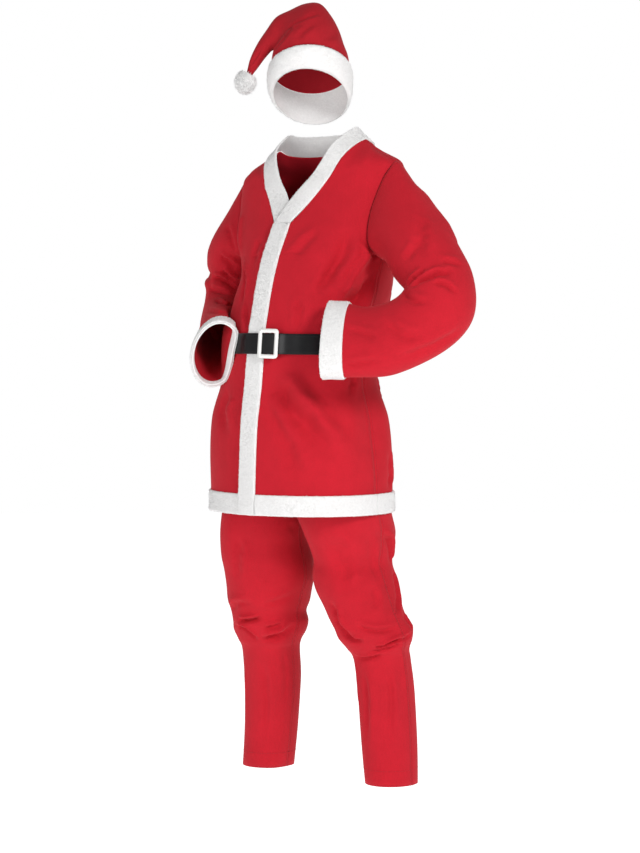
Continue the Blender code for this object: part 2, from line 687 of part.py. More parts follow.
def add_buckle(parent):
    """A flat frame in front of the strap, with a bar behind the strap between its long bars."""
    origin, *around = belt_line(np.array([BUCKLE_CENTRE, BUCKLE_CENTRE - 0.01, BUCKLE_CENTRE + 0.01]))
    upward = normalized(belt_line(BUCKLE_CENTRE, 1) - belt_line(BUCKLE_CENTRE, 0))
    facing = normalized(np.cross(around[1] - around[0], upward))
    across = np.cross(facing, upward)
    reach = BUCKLE_WIDTH / 2
    places = np.linspace(BUCKLE_CENTRE - reach, BUCKLE_CENTRE + reach, 41)
    front = np.array([belt_line(places, part) for part in (0, 1)]).reshape(-1, 3) - origin
    bars = np.abs(front @ across) > reach - 1.2 * BUCKLE_BAR
    back_face = np.max((front @ facing)[bars]) + STRAP_GAP
    outer = rounded_rectangle(BUCKLE_WIDTH, BUCKLE_HEIGHT, BUCKLE_CORNER)
    inner = rounded_rectangle(BUCKLE_WIDTH - 2 * BUCKLE_BAR, BUCKLE_HEIGHT - 2 * BUCKLE_BAR,
                              BUCKLE_CORNER / 3)
    points = [(x, depth, y) for depth in (back_face, back_face + BUCKLE_THICKNESS)
              for loop in (outer, inner) for x, y in loop]
    count = len(outer)
    faces = []
    for i in range(count):
        j = (i + 1) % count
        faces.append((i, j, count + j, count + i))
        faces.append((3 * count + i, 3 * count + j, 2 * count + j, 2 * count + i))
        faces.append((2 * count + i, 2 * count + j, j, i))
        faces.append((count + i, count + j, 3 * count + j, 3 * count + i))
    mesh = bpy.data.meshes.new("belt_buckle")
    mesh.from_pydata(points, [], faces)
    join_bar(mesh, -BELT_THICKNESS - 1.5 * STRAP_GAP, back_face + BUCKLE_THICKNESS / 2)
    placed = Matrix(((*across, 0), (*facing, 0), (*upward, 0), (0, 0, 0, 1))).transposed()
    placed.translation = Vector(origin)
    mesh.transform(placed)
    add_object("belt_buckle", mesh, PLASTIC, parent)


def join_bar(mesh, bar_front, frame_middle):
    """Unites the frame with the bar that crosses its window behind the strap."""
    top = BUCKLE_HEIGHT / 2 - BUCKLE_BAR / 2
    foot = BUCKLE_HEIGHT / 2 - BUCKLE_BAR * 0.92
    bar_back = bar_front - PRONG_BAR_THICKNESS
    profile = ((bar_back, -top), (frame_middle, -top), (frame_middle, -foot), (bar_front, -foot),
               (bar_front, foot), (frame_middle, foot), (frame_middle, top), (bar_back, top))
    half = PRONG_BAR / 2
    bar = bmesh.new()
    section = [bar.verts.new((-half, depth, height)) for depth, height in profile]
    face = bar.faces.new(section)
    extruded = bmesh.ops.extrude_face_region(bar, geom=[face])
    moved = [item for item in extruded["geom"] if isinstance(item, bmesh.types.BMVert)]
    bmesh.ops.translate(bar, verts=moved, vec=(2 * half, 0, 0))
    bmesh.ops.recalc_face_normals(bar, faces=bar.faces)
    bar_mesh = bpy.data.meshes.new("buckle_bar")
    bar.to_mesh(bar_mesh)
    bar.free()
    frame = bmesh.new()
    frame.from_mesh(mesh)
    bmesh.ops.recalc_face_normals(frame, faces=frame.faces)
    frame.to_mesh(mesh)
    frame.free()
    frame_object = bpy.data.objects.new("buckle_frame", mesh)
    bar_object = bpy.data.objects.new("buckle_bar", bar_mesh)
    for item in (frame_object, bar_object):
        bpy.context.collection.objects.link(item)
    union = frame_object.modifiers.new("union", "BOOLEAN")
    union.operation = "UNION"
    union.object = bar_object
    bpy.context.view_layer.update()
    evaluated = frame_object.evaluated_get(bpy.context.evaluated_depsgraph_get())
    joined = bmesh.new()
    joined.from_mesh(evaluated.to_mesh())
    joined.to_mesh(mesh)
    joined.free()
    for item in (frame_object, bar_object):
        bpy.data.objects.remove(item)


# ---------------------------------------------------------------- trousers

CROTCH = 0.800
PELVIS = Table(
    "height half_width front back",
    (
        (0.780, 0.1930, -0.168, 0.110),
        (0.860, 0.1900, -0.180, 0.104),
        (0.920, 0.1840, -0.192, 0.094),
        (0.980, 0.1740, -0.200, 0.084),
        (1.030, 0.1720, -0.205, 0.086),
        (1.0625, 0.1729, -0.2039, 0.0869),
    ),
)
LEG_COLUMNS = "height centre_x centre_y half_width half_depth"
LEGS = {
    "left": Table(LEG_COLUMNS, (
        (0.870, 0.098, -0.042, 0.098, 0.126),
        (0.800, 0.098, -0.045, 0.098, 0.120),
        (0.720, 0.104, -0.036, 0.101, 0.112),
        (0.665, 0.104, -0.016, 0.092, 0.117),
        (0.608, 0.107, -0.010, 0.080, 0.093),
        (0.555, 0.115, -0.004, 0.084, 0.098),
        (0.494, 0.132, 0.004, 0.085, 0.088),
        (0.463, 0.142, 0.013, 0.088, 0.089),
        (0.437, 0.147, 0.019, 0.084, 0.084),
        (0.412, 0.151, 0.028, 0.070, 0.072),
        (0.385, 0.153, 0.040, 0.064, 0.066),
        (0.300, 0.155, 0.052, 0.063, 0.067),
        (0.110, 0.157, 0.067, 0.056, 0.060),
    )),
    "right": Table(LEG_COLUMNS, (
        (0.870, -0.098, -0.042, 0.098, 0.126),
        (0.800, -0.098, -0.046, 0.098, 0.122),
        (0.700, -0.108, -0.046, 0.096, 0.114),
        (0.634, -0.117, -0.032, 0.094, 0.114),
        (0.559, -0.128, -0.022, 0.090, 0.099),
        (0.510, -0.137, -0.012, 0.092, 0.097),
        (0.484, -0.144, -0.008, 0.086, 0.087),
        (0.458, -0.146, -0.004, 0.087, 0.087),
        (0.430, -0.147, 0.000, 0.080, 0.080),
        (0.405, -0.149, 0.008, 0.068, 0.070),
        (0.385, -0.154, 0.018, 0.064, 0.066),
        (0.300, -0.172, 0.045, 0.063, 0.067),
        (0.110, -0.215, 0.078, 0.056, 0.060),
    )),
}
LEG_HEIGHTS = (1.0620, 1.020, 0.980, 0.940, 0.900, 0.865, 0.832, CROTCH, 0.760, 0.715, 0.670,
               0.635, 0.605, 0.575, 0.540, 0.505, 0.480, 0.457, 0.435, 0.412, 0.388, 0.320,
               0.215, 0.110)
LEG_HALF_COLUMNS = 9

# Folds of the legs: angle round the leg (degrees, 0 front, 90 the outer side), how far it
# leans, its heights, half its width and its depth.
LEG_FOLDS = {
    "left": (
        (20, -40, 0.390, 0.490, 26, -0.006),
        (70, -50, 0.400, 0.520, 26, -0.006),
        (110, 30, 0.400, 0.500, 24, 0.006),
        (165, -30, 0.390, 0.500, 26, -0.006),
        (215, 30, 0.400, 0.510, 26, 0.006),
        (290, 40, 0.390, 0.500, 26, -0.006),
        (60, -60, 0.560, 0.660, 26, -0.007),
        (330, 30, 0.540, 0.800, 18, -0.006),
        (150, -20, 0.540, 0.780, 18, -0.006),
    ),
    "right": (
        (10, 45, 0.390, 0.480, 26, -0.006),
        (75, -40, 0.400, 0.500, 26, -0.006),
        (130, 30, 0.395, 0.490, 24, 0.006),
        (185, -30, 0.390, 0.490, 26, -0.006),
        (250, 30, 0.400, 0.500, 26, 0.006),
        (310, -40, 0.390, 0.490, 24, -0.006),
        (345, 20, 0.520, 0.780, 18, -0.006),
        (30, -20, 0.500, 0.760, 18, 0.006),
        (160, 20, 0.540, 0.780, 18, -0.006),
    ),
}


def leg_fold(name, angles, height):
    total = np.zeros(len(angles))
    degrees = np.degrees(angles) % 360
    for values in LEG_FOLDS[name]:
        fold = dict(zip(JACKET_FOLD_COLUMNS, values))
        part = (height - (fold["bottom"] + fold["top"]) / 2) / ((fold["top"] - fold["bottom"]) / 2)
        line = fold["angle"] + fold["lean"] * part
        away = (degrees - line + 180) % 360 - 180
        total += fold["depth"] * bump(away, 2 * fold["half_width"]) * bump(part, 1)
    return total


def leg_cloth(name):
    """One leg, from the waist to the ankle: columns run from the inner edge in front to the
    side and on to the inner edge behind, and the two inner edges meet below the crotch."""
    side = 1 if name == "left" else -1
    part = np.linspace(0, 1, 2 * LEG_HALF_COLUMNS + 1)
    body_angle = part * math.pi
    leg_angle = (part * 2 - 0.5) * math.pi
    rings = []
    for height in LEG_HEIGHTS:
        body = PELVIS.at(height)
        middle = (body["front"] + body["back"]) / 2
        half_depth = (body["back"] - body["front"]) / 2
        full = 1 + FULLNESS * np.sin(2 * body_angle) ** 2
        fold = jacket_fold(side * body_angle, height) * (height > CROTCH)
        x = (body["half_width"] * full + fold) * np.sin(body_angle)
        y = middle - (half_depth * full + fold) * np.cos(body_angle)
        leg = LEGS[name].at(height)
        fold = leg_fold(name, leg_angle, height)
        leg_x = side * leg["centre_x"] + (leg["half_width"] + fold) * np.sin(leg_angle)
        leg_y = leg["centre_y"] - (leg["half_depth"] + fold) * np.cos(leg_angle)
        share = 1 - smooth_step(height, CROTCH, 0.930)
        ring_x = np.maximum(x + (leg_x - x) * share, 0)
        ring_y = y + (leg_y - y) * share
        rings.append(np.stack([side * ring_x, ring_y, np.full(len(part), height)], -1))
    points = np.array(rings)
    along = np.gradient(points, axis=0)
    around = np.gradient(points, axis=1)
    below = [i for i, height in enumerate(LEG_HEIGHTS) if height <= CROTCH]
    for r in below:
        seam = points[r, 1] - points[r, -2]
        around[r, 0] = around[r, -1] = seam
    normals = normalized(np.cross(around, along))
    if np.sum(normals[..., 0] * side * (points[..., 0] * side > 0.1)) < 0:
        normals = -normals
    above = below[0]
    for column in (0, -1):
        normals[:above, column, 0] = 0
    return Cloth(points, normalized(normals))


def add_trousers(fronts, back, parent):
    half = LEG_HALF_COLUMNS
    for name in ("left", "right"):
        leg = leg_cloth(name)
        front = leg.cut(columns=slice(0, half + 1)).trimmed()
        rear = leg.cut(columns=slice(half, None)).trimmed()
        add_wall(f"trouser_front_{name}", front, -CLOTH, 0, FELT, parent)
        add_wall(f"trouser_back_{name}", rear, -CLOTH, 0, FELT, parent)
    rows = slice(JACKET_HEIGHTS.index(BELT_BOTTOM), JACKET_HEIGHTS.index(BELT_TOP) + 1)
    left = fronts["left"].cut(rows)
    behind = back.cut(rows, slice(1, None))
    right = fronts["right"].cut(rows, slice(-2, BAND_COLUMNS, -1))
    ring = left.joined(behind).joined(right)
    ring.rise = np.zeros(ring.points.shape[:2])
    outside = -CLOTH - LAYER_GAP
    add_wall("waistband", ring, outside - CLOTH, outside, FELT, parent, closed=True)


# ---------------------------------------------------------------- hat

# The hat is turned to the wearer's left and stands on its own, above the neck.
HAT_TURN = math.radians(38)
HAT_PLACE = (-0.001, -0.027)
# Each row cuts the hat across: the end beside the hanging tip, the end beyond it, each by its
# place across the head and its height, half the depth, and how much the front is lifted.
HAT_COLUMNS = "in_x in_height out_x out_height half_depth lift".split()
BAND_ROWS = (
    (-0.0815, 1.632, 0.0845, 1.622, 0.099, 0.055),
    (-0.0880, 1.650, 0.0885, 1.643, 0.103, 0.053),
    (-0.0885, 1.669, 0.0895, 1.666, 0.103, 0.050),
    (-0.0860, 1.6867, 0.0885, 1.6867, 0.099, 0.047),
)
CROWN_ROWS = (
    (-0.0854, 1.6877, 0.0884, 1.6877, 0.098, 0.047),
    (-0.0850, 1.7020, 0.0850, 1.7110, 0.097, 0.044),
    (-0.0838, 1.7130, 0.0761, 1.7350, 0.093, 0.038),
    (-0.0821, 1.7200, 0.0650, 1.7685, 0.085, 0.030),
    (-0.0805, 1.7240, 0.0473, 1.8017, 0.072, 0.020),
    (-0.0798, 1.7270, 0.0230, 1.8290, 0.056, 0.010),
    (-0.0805, 1.7285, -0.0102, 1.8300, 0.042, 0.004),
    (-0.0825, 1.7280, -0.0456, 1.8160, 0.032, 0.0),
    (-0.0862, 1.7250, -0.0743, 1.8020, 0.026, 0.0),
    (-0.0925, 1.7180, -0.0954, 1.7752, 0.021, 0.0),
    (-0.1031, 1.7060, -0.1153, 1.7453, 0.017, 0.0),
    (-0.1150, 1.6905, -0.1315, 1.7110, 0.013, 0.0),
    (-0.1270, 1.6752, -0.1392, 1.6812, 0.008, 0.0),
)
HAT_HALF_COLUMNS = 9
HAT_BAND_WALL = 0.0028
POMPOM_CENTRE = (-0.1429, 1.658)
POMPOM_SEAT = 0.0020      # how far its centre is pressed towards the hat's tip
POMPOM_CORE = 0.0185
POMPOM_LOCK = 0.0075
POMPOM_TALLER = 1.15


def hat_frame():
    """From the hat's own axes, across, front to back and up, to the suit's."""
    return Matrix.Translation((*HAT_PLACE, 0)) @ Matrix.Rotation(HAT_TURN, 4, "Z")


def hat_cloth(rows):
    frame = np.array(hat_frame())
    angles = np.linspace(0, 2 * math.pi, 2 * HAT_HALF_COLUMNS, endpoint=False)
    rings = []
    for values in rows:
        row = dict(zip(HAT_COLUMNS, values))
        near = np.array([row["in_x"], 0, row["in_height"]])
        far = np.array([row["out_x"], 0, row["out_height"]])
        depth = math.sqrt(row["half_depth"] ** 2 - row["lift"] ** 2)
        front = np.array([0, -depth, row["lift"]])
        ring = (near + far) / 2 + np.outer(np.cos(angles), (far - near) / 2) + np.outer(np.sin(angles), front)
        rings.append(ring @ frame[:3, :3].T + frame[:3, 3])
    points = np.array(rings)
    normals = grid_normals(points, closed=True)
    if np.sum(normals * (points - points.mean(axis=1, keepdims=True))) < 0:
        normals = -normals
    return Cloth(points, normals)


def add_hat(parent):
    band = hat_cloth(BAND_ROWS)
    add_wall("hat_band", band, -HAT_BAND_WALL / 2, HAT_BAND_WALL / 2, PLUSH, parent, closed=True)
    crown = hat_cloth(CROWN_ROWS)
    wrapped = crown.joined(crown.cut(columns=slice(0, 1)))
    half = HAT_HALF_COLUMNS
    front = wrapped.cut(columns=slice(0, half + 1)).trimmed(rows=False)
    rear = wrapped.cut(columns=slice(half, None)).trimmed(rows=False)
    add_wall("hat_crown_front", front, -CLOTH, 0, FELT, parent)
    add_wall("hat_crown_back", rear, -CLOTH, 0, FELT, parent)
    add_pompom(parent)


def add_pompom(parent):
    """A round core with a short tapered lock on each face, but for those under the hat's tip."""
    across, height = POMPOM_CENTRE
    place = hat_frame() @ Vector((across, 0, height))
    tip_row = dict(zip(HAT_COLUMNS, CROWN_ROWS[-1]))
    tip = Vector(((tip_row["in_x"] + tip_row["out_x"]) / 2, 0,
                  (tip_row["in_height"] + tip_row["out_height"]) / 2))
    to_tip = (hat_frame() @ tip - place).normalized()
    place += to_tip * POMPOM_SEAT
    ball = bmesh.new()
    bmesh.ops.create_icosphere(ball, subdivisions=2, radius=POMPOM_CORE)
    ball.faces.ensure_lookup_table()
    locks = [face for face in ball.faces if face.normal.dot(to_tip) < math.cos(math.radians(38))]
    for number, face in enumerate(locks):
        length = POMPOM_LOCK * (0.75 + 0.25 * math.sin(2.4 * number))
        bmesh.ops.inset_individual(ball, faces=[face], thickness=0.0006)
        grown = bmesh.ops.extrude_discrete_faces(ball, faces=[face])["faces"][0]
        middle = grown.calc_center_median()
        direction = middle.normalized()
        for vert in grown.verts:
            vert.co = middle + (vert.co - middle) * 0.45 + direction * length
    bmesh.ops.scale(ball, vec=(1, 1, POMPOM_TALLER), verts=ball.verts)
    bmesh.ops.translate(ball, vec=place, verts=ball.verts)
    bmesh.ops.triangulate(ball, faces=ball.faces)
    mesh = bpy.data.meshes.new("hat_pompom")
    ball.to_mesh(mesh)
    ball.free()
    add_object("hat_pompom", mesh, PLUSH, parent)


def main():
    for item in list(bpy.data.objects):
        bpy.data.objects.remove(item, do_unlink=True)
    wearer = bpy.data.objects.new("wearer", None)
    bpy.context.collection.objects.link(wearer)
    wearer.location.z = -NECK_HEIGHT
    fronts, back = add_jacket(wearer)
    add_sleeve("left", ARMS["left"], armhole_loop(fronts["left"], back, 0), wearer)
    add_sleeve("right", ARMS["right"], armhole_loop(fronts["right"], back, -1), wearer)
    add_belt(fronts, back, wearer)
    add_buckle(wearer)
    add_trousers(fronts, back, wearer)
    add_hat(wearer)


main()
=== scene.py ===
# Santa suit on an unseen standing wearer, finished in felt, plush and vinyl.
# Metres, +Z up; the origin is the neck. Heights are above the soles. Rows of numbers in the
# tables are in millimetres, degrees and steps of the grids.
import math

import bmesh
import bpy
import numpy as np
from mathutils import Matrix, Vector


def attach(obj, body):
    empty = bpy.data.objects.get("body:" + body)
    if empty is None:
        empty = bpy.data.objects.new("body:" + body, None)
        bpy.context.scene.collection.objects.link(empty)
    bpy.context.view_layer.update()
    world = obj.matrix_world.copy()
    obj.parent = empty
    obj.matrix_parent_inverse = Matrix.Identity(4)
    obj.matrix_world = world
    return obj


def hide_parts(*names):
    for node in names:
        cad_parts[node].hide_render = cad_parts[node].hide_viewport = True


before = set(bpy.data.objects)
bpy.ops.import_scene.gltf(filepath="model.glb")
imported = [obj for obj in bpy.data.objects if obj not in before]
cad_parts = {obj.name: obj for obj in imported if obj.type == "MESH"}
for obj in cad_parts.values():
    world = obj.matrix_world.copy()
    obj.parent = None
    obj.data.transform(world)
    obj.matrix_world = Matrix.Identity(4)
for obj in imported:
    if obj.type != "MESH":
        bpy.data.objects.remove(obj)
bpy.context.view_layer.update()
metre = 1000             # millimetres, which the tables are in
neckHeight = 1.50
seamGap = 0.0003         # between two panels at a seam
layerGap = 0.0005        # air between two layers of cloth
print("frame loaded")


class Table:
    # smooth curves through rows of numbers, looked up by the first number of a row
    def __init__(self, rows, per=1):
        data = np.array(sorted(rows), float) / per
        self.keys, self.values = data[:, 0], data[:, 1:]
        rise = np.diff(self.values, axis=0) / np.diff(self.keys)[:, None]
        before, after = rise[:-1], rise[1:]
        sameWay = before * after > 0
        mean = 2 * before * after / np.where(sameWay, before + after, 1)
        self.slopes = np.vstack([rise[:1], np.where(sameWay, mean, 0), rise[-1:]])

    def at(self, key):
        key = np.clip(np.asarray(key, float), self.keys[0], self.keys[-1])
        low = np.clip(np.searchsorted(self.keys, key) - 1, 0, len(self.keys) - 2)
        span = (self.keys[low + 1] - self.keys[low])[..., None]
        part = (key - self.keys[low])[..., None] / span
        start, end = self.values[low], self.values[low + 1]
        bend = part * (1 - part) * span
        value = start + (end - start) * part * part * (3 - 2 * part)
        value = value + bend * ((1 - part) * self.slopes[low] - part * self.slopes[low + 1])
        return np.moveaxis(value, -1, 0)


def smoothStep(value, start, end):
    part = np.clip((np.asarray(value, float) - start) / (end - start), 0, 1)
    return part * part * (3 - 2 * part)


def bump(value, halfWidth):
    part = np.clip(np.abs(value) / halfWidth, 0, 1)
    return (1 + np.cos(math.pi * part)) / 2


def unit(vectors):
    return vectors / np.maximum(np.linalg.norm(vectors, axis=-1, keepdims=True), 1e-12)


def resample(values, count, closed=False):
    # smooth curves through the rows of a grid, count steps to each one
    last = len(values) - (not closed)
    steps = np.linspace(0, last, last * count + 1)[:-1 if closed else None]
    low = np.minimum(np.floor(steps).astype(int), last - 1)
    part = (steps - low).reshape(-1, *([1] * (values.ndim - 1)))
    if closed:
        padded = np.concatenate([values[-1:], values, values[:2]])
    else:
        before, after = 2 * values[:1] - values[1:2], 2 * values[-1:] - values[-2:-1]
        padded = np.concatenate([before, values, after])
    a, b, c, d = (padded[low + k] for k in range(4))
    curve = 2 * b + (c - a) * part + (2 * a - 5 * b + 4 * c - d) * part ** 2
    return (curve + (3 * b - a - 3 * c + d) * part ** 3) / 2


def gridNormals(points, closed, guide):
    # the grid's directions square to its faces, on the side that the guide points to
    if closed:
        around = np.roll(points, -1, axis=1) - np.roll(points, 1, axis=1)
    else:
        around = np.gradient(points, axis=1)
    normals = unit(np.cross(around, np.gradient(points, axis=0)))
    return normals if np.sum(normals * guide) >= 0 else -normals


class Cloth:
    # a grid of points with the outward direction at each; rows run up or along the piece
    def __init__(self, points, normals, rise=0.0, closed=False):
        self.points, self.normals, self.closed = points, normals, closed
        self.rise = np.array(np.broadcast_to(rise, points.shape[:2]), float)

    def grids(self):
        return self.points, self.normals, self.rise

    def cut(self, rows=slice(None), columns=slice(None)):
        closed = self.closed and columns == slice(None)
        return Cloth(*(grid[rows, columns] for grid in self.grids()), closed)

    def joined(self, other):
        return Cloth(*(np.hstack(pair) for pair in zip(self.grids(), other.grids())))

    def trimmed(self, rows=True):
        # half a seam's gap narrower at each edge
        points = self.points.copy()
        for edge, inner in ((0, 1), (-1, -2)):
            inwards = unit(self.points[:, inner] - self.points[:, edge])
            points[:, edge] += seamGap / 2 * inwards
        for edge, inner in ((0, 1), (-1, -2)) if rows else ():
            points[edge] += seamGap / 2 * unit(self.points[inner] - self.points[edge])
        return Cloth(points, self.normals, self.rise)

    def layer(self, height):
        return self.points + self.normals * np.asarray(self.rise + height)[..., None]

    def finer(self, rowCount, columnCount):
        def both(grid):
            columns = np.swapaxes(resample(grid, rowCount), 0, 1)
            return np.swapaxes(resample(columns, columnCount, self.closed), 0, 1)

        points, guide, rise = (both(grid) for grid in self.grids())
        return Cloth(points, gridNormals(points, self.closed, guide), rise, self.closed)

    def flatSize(self):
        # width, length and area that the piece was cut to
        points = self.points
        if self.closed:
            points = np.hstack([points, points[:, :1]])
        width = np.linalg.norm(np.diff(points, axis=1), axis=2).sum(axis=1).max()
        length = np.linalg.norm(np.diff(points, axis=0), axis=2).sum(axis=0).mean()
        right, up = points[:-1, 1:] - points[:-1, :-1], points[1:, :-1] - points[:-1, :-1]
        area = np.linalg.norm(np.cross(right, up), axis=2).sum()
        return float(width), float(length), float(min(area, width * length))


def ringCloth(rings):
    points = np.array(rings)
    normals = gridNormals(points, True, points - points.mean(axis=1, keepdims=True))
    return Cloth(points, normals, closed=True)


def soften(cloth, depth, seed):
    # slow uneven waves, so that no stretch of cloth is perfectly even
    x, y, z = np.moveaxis(cloth.points, -1, 0)
    for k in range(5):
        angle, reach = seed * 1.7 + k * 2.4, 14 + 9 * k
        wave = (x * math.cos(angle) + y * math.sin(angle)) * reach
        wave = wave + z * (9 + 6 * math.sin(angle * 2)) * 1.4 + seed + k * 1.3
        cloth.rise = cloth.rise + depth * np.sin(wave) / (1 + 0.6 * k)


ridgeShare, ridgePlace = 0.55, 1.7       # of the trough's depth and of half its width


def crease(cloth, creases, look, fade):
    # Each row: row and column of three places on the piece, half its width and its depth.
    # A ridge stands beside each trough, and a negative depth makes a ridge of the trough.
    rows, columns = cloth.points.shape[:2]
    change = np.zeros(rows * columns)
    flat = cloth.points.reshape(-1, 3)
    for *places, halfWidth, depth in creases:
        halfWidth /= metre
        path = resample(np.array(places, float).reshape(3, 2), 8)
        r = np.clip(np.round(path[:, 0] * look["rows"]).astype(int), 0, rows - 1)
        c = np.round(path[:, 1] * look["columns"]).astype(int)
        c = c % columns if cloth.closed else np.clip(c, 0, columns - 1)
        line, facing = cloth.points[r, c], cloth.normals[r, c]
        middle = line.mean(axis=0)
        reach = np.linalg.norm(line - middle, axis=1).max() + 4 * halfWidth
        near = np.flatnonzero(np.linalg.norm(flat - middle, axis=1) < reach)
        here = flat[near]
        best = np.full(len(near), 9.0)
        across, along = np.zeros(len(near)), np.zeros(len(near))
        for k in range(len(line) - 1):
            step = line[k + 1] - line[k]
            part = np.clip((here - line[k]) @ step / max(float(step @ step), 1e-10), 0, 1)
            away = here - (line[k] + part[:, None] * step)
            distance = np.linalg.norm(away, axis=1)
            closer = distance < best
            best = np.where(closer, distance, best)
            across = np.where(closer, away @ unit(np.cross(facing[k], step)), across)
            along = np.where(closer, (k + part) / (len(line) - 1), along)
        taper = smoothStep(along, 0, 0.3) * (1 - smoothStep(along, 0.65, 1))
        taper = taper * (best < 3.4 * halfWidth)
        trough = np.exp(-(best / halfWidth) ** 2)
        ridge = np.exp(-((best - ridgePlace * halfWidth) / halfWidth) ** 2)
        ridge = ridge * smoothStep(across, -0.4 * halfWidth, halfWidth)
        change[near] += depth / metre * taper * (ridgeShare * ridge - trough)
    cloth.rise = cloth.rise + change.reshape(rows, columns) * look["folds"] * fade


def foldAt(folds, angle, height):
    # How far soft folds push the cloth out at an angle in radians and a height. Each fold has
    # its angle, how far it leans from foot to top, its two ends, half its width and its depth.
    degrees, total = np.degrees(angle) % 360, 0
    for turn, lean, bottom, top, halfWidth, depth in folds:
        part = (2 * height - bottom - top) / (top - bottom)
        away = (degrees - turn - lean * part + 180) % 360 - 180
        total = total + depth / metre * bump(away, halfWidth * 2) * bump(part, 1)
    return total


# Cloth and belt.
clothWall = 0.0015       # felt of the panels
trimWall = 0.0018        # white plush bands
bandWidth = 0.047        # front bands, edge to edge
beltThickness = 0.0023
strapGap = 0.0006        # air between the jacket and the belt

# Jacket, heights above the soles.
hemHeight = 0.716
hemBandTop = 0.761
beltBottom = 1.0625
beltTop = 1.107
beltMiddle = (beltBottom + beltTop) / 2
underarmHeight = 1.270
neckPoint = 1.522        # where neckline and shoulder seam meet
shoulderTip = 1.470      # where shoulder seam and sleeve meet
vBottom = 1.345          # lowest point of the neckline
backNeck = 1.505
collarBack = 1.548
shoulderTilt = 0.070     # the left shoulder is carried higher
shoulderTwist = 0.070    # and further back than the right one
shoulderStart, shoulderFull = 1.20, 1.46     # between these heights both come in
fullness = 0.020         # how much the sections are squarer than an ellipse

# Counts of the grid that every jacket panel is made on.
bandColumns = 3
necklineColumns = 4
shoulderColumns = 5
backNeckColumns = 5
armholeRows = 10

# Sections of the jacket: height, half width, front and back of the outline.
jacketTable = Table((
    (700, 213, -236, 124), (800, 210, -235, 120), (885, 203, -231, 113), (935, 197.5, -225, 105),
    (965, 188, -219, 98), (1000, 179, -213, 92), (1062.5, 175, -206, 89), (1107, 175.5, -202, 91),
    (1150, 181, -192, 103), (1210, 188, -178, 118), (1270, 193, -158, 127), (1330, 200, -128, 127),
    (1390, 205, -98, 122), (1430, 208, -83, 114), (1455, 206, -75, 106), (1470, 198, -70, 101),
    (1482, 178, -67, 96), (1497, 147, -63, 91), (1522, 117, -59, 83), (1545, 92, -56, 77),
    (1575, 76, -54, 73),
), metre)
# Soft folds, as foldAt takes them.
jacketFolds = (
    (24, -6, 720, 1050, 11, 4), (44, 5, 800, 1050, 10, -5), (66, 4, 720, 1045, 11, 5.5),
    (88, -4, 760, 1050, 10, -6), (112, 6, 720, 1045, 12, 6), (136, -5, 780, 1050, 11, -5),
    (160, 4, 720, 1050, 12, 5.5), (187, -4, 760, 1050, 11, -5), (212, 5, 720, 1045, 12, 5.5),
    (238, -6, 780, 1050, 11, -5.5), (262, 4, 720, 1045, 11, 5), (286, -5, 760, 1050, 10, -4.5),
    (312, 5, 720, 1050, 12, 4), (36, 12, 1118, 1240, 10, 5), (58, 10, 1118, 1270, 10, -5),
    (80, 4, 1118, 1230, 10, 5), (128, -6, 1118, 1260, 12, 6), (152, -3, 1118, 1300, 11, -6),
    (182, 2, 1118, 1260, 12, 6), (210, 4, 1118, 1300, 11, -5.5), (236, 6, 1118, 1260, 12, 6),
    (299, 0, 1112, 1345, 24, -25), (318, -8, 1118, 1250, 11, 4.5),
)

# Lines on the jacket, as angles from the front and heights.
necklineLine = ((6.5, vBottom), (11.5, 1.375), (16.5, 1.395), (23, 1.43), (28.3, 1.46), (42, 1.49),
                (61, 1.510), (90, neckPoint))
backNeckLine = ((90, neckPoint), (118, 1.512), (148, 1.506), (180, backNeck))
collarFront = ((-6.5, vBottom), (-2, 1.378), (2.7, 1.407), (7.6, 1.427), (13.4, 1.457),
               (28.5, 1.500), (52, 1.535), (90, 1.552))
collarBehind = ((90, 1.552), (120, 1.550), (150, 1.549), (180, collarBack))
armholeFront = ((90, underarmHeight), (75, 1.283), (65, 1.320), (62, 1.370), (65, 1.420),
                (73, 1.452), (90, shoulderTip))
armholeBack = ((90, underarmHeight), (103, 1.283), (112, 1.320), (115, 1.370), (113, 1.420),
               (106, 1.452), (90, shoulderTip))
shoulderSeam = ((90, neckPoint), (90, 1.497), (90, 1.482), (90, shoulderTip))
jacketHeights = (hemHeight, 0.7385, hemBandTop, 0.800, 0.840, 0.885, 0.925, 0.955, 0.985, 1.020,
                 beltBottom, beltTop, 1.150, 1.190, 1.230, underarmHeight)

# How far the left front, lapped over the right one, stands out, and where that fades out.
lapStep = clothWall + 2 * layerGap + trimWall
lapSideways = (0.030, 0.066)
lapUpwards = (1.395, 1.450)


def sectionPoint(table, angle, height, fold=0.0, full=1.0):
    halfWidth, front, back = table.at(height)
    x = (halfWidth * full + fold) * np.sin(angle)
    return x, (front + back) / 2 - ((back - front) / 2 * full + fold) * np.cos(angle)


def squarer(angle):
    # how much wider the section is than an ellipse at this angle
    return 1 + fullness * np.sin(2 * angle) ** 2


def jacketPoint(angle, height):
    # the point of the jacket's outer face at an angle in radians and a height
    fold = foldAt(jacketFolds, angle, height * metre)
    x, y = sectionPoint(jacketTable, angle, height, fold, squarer(angle))
    lift = smoothStep(height, shoulderStart, shoulderFull) * x
    return np.stack([x, y + shoulderTwist * lift, height + shoulderTilt * lift], -1)


def jacketNormal(angle, height):
    turn, climb = math.radians(0.4), 0.0008     # to the points that it is measured between
    along = jacketPoint(angle + turn, height) - jacketPoint(angle - turn, height)
    upward = jacketPoint(angle, height + climb) - jacketPoint(angle, height - climb)
    return unit(np.cross(along, upward))


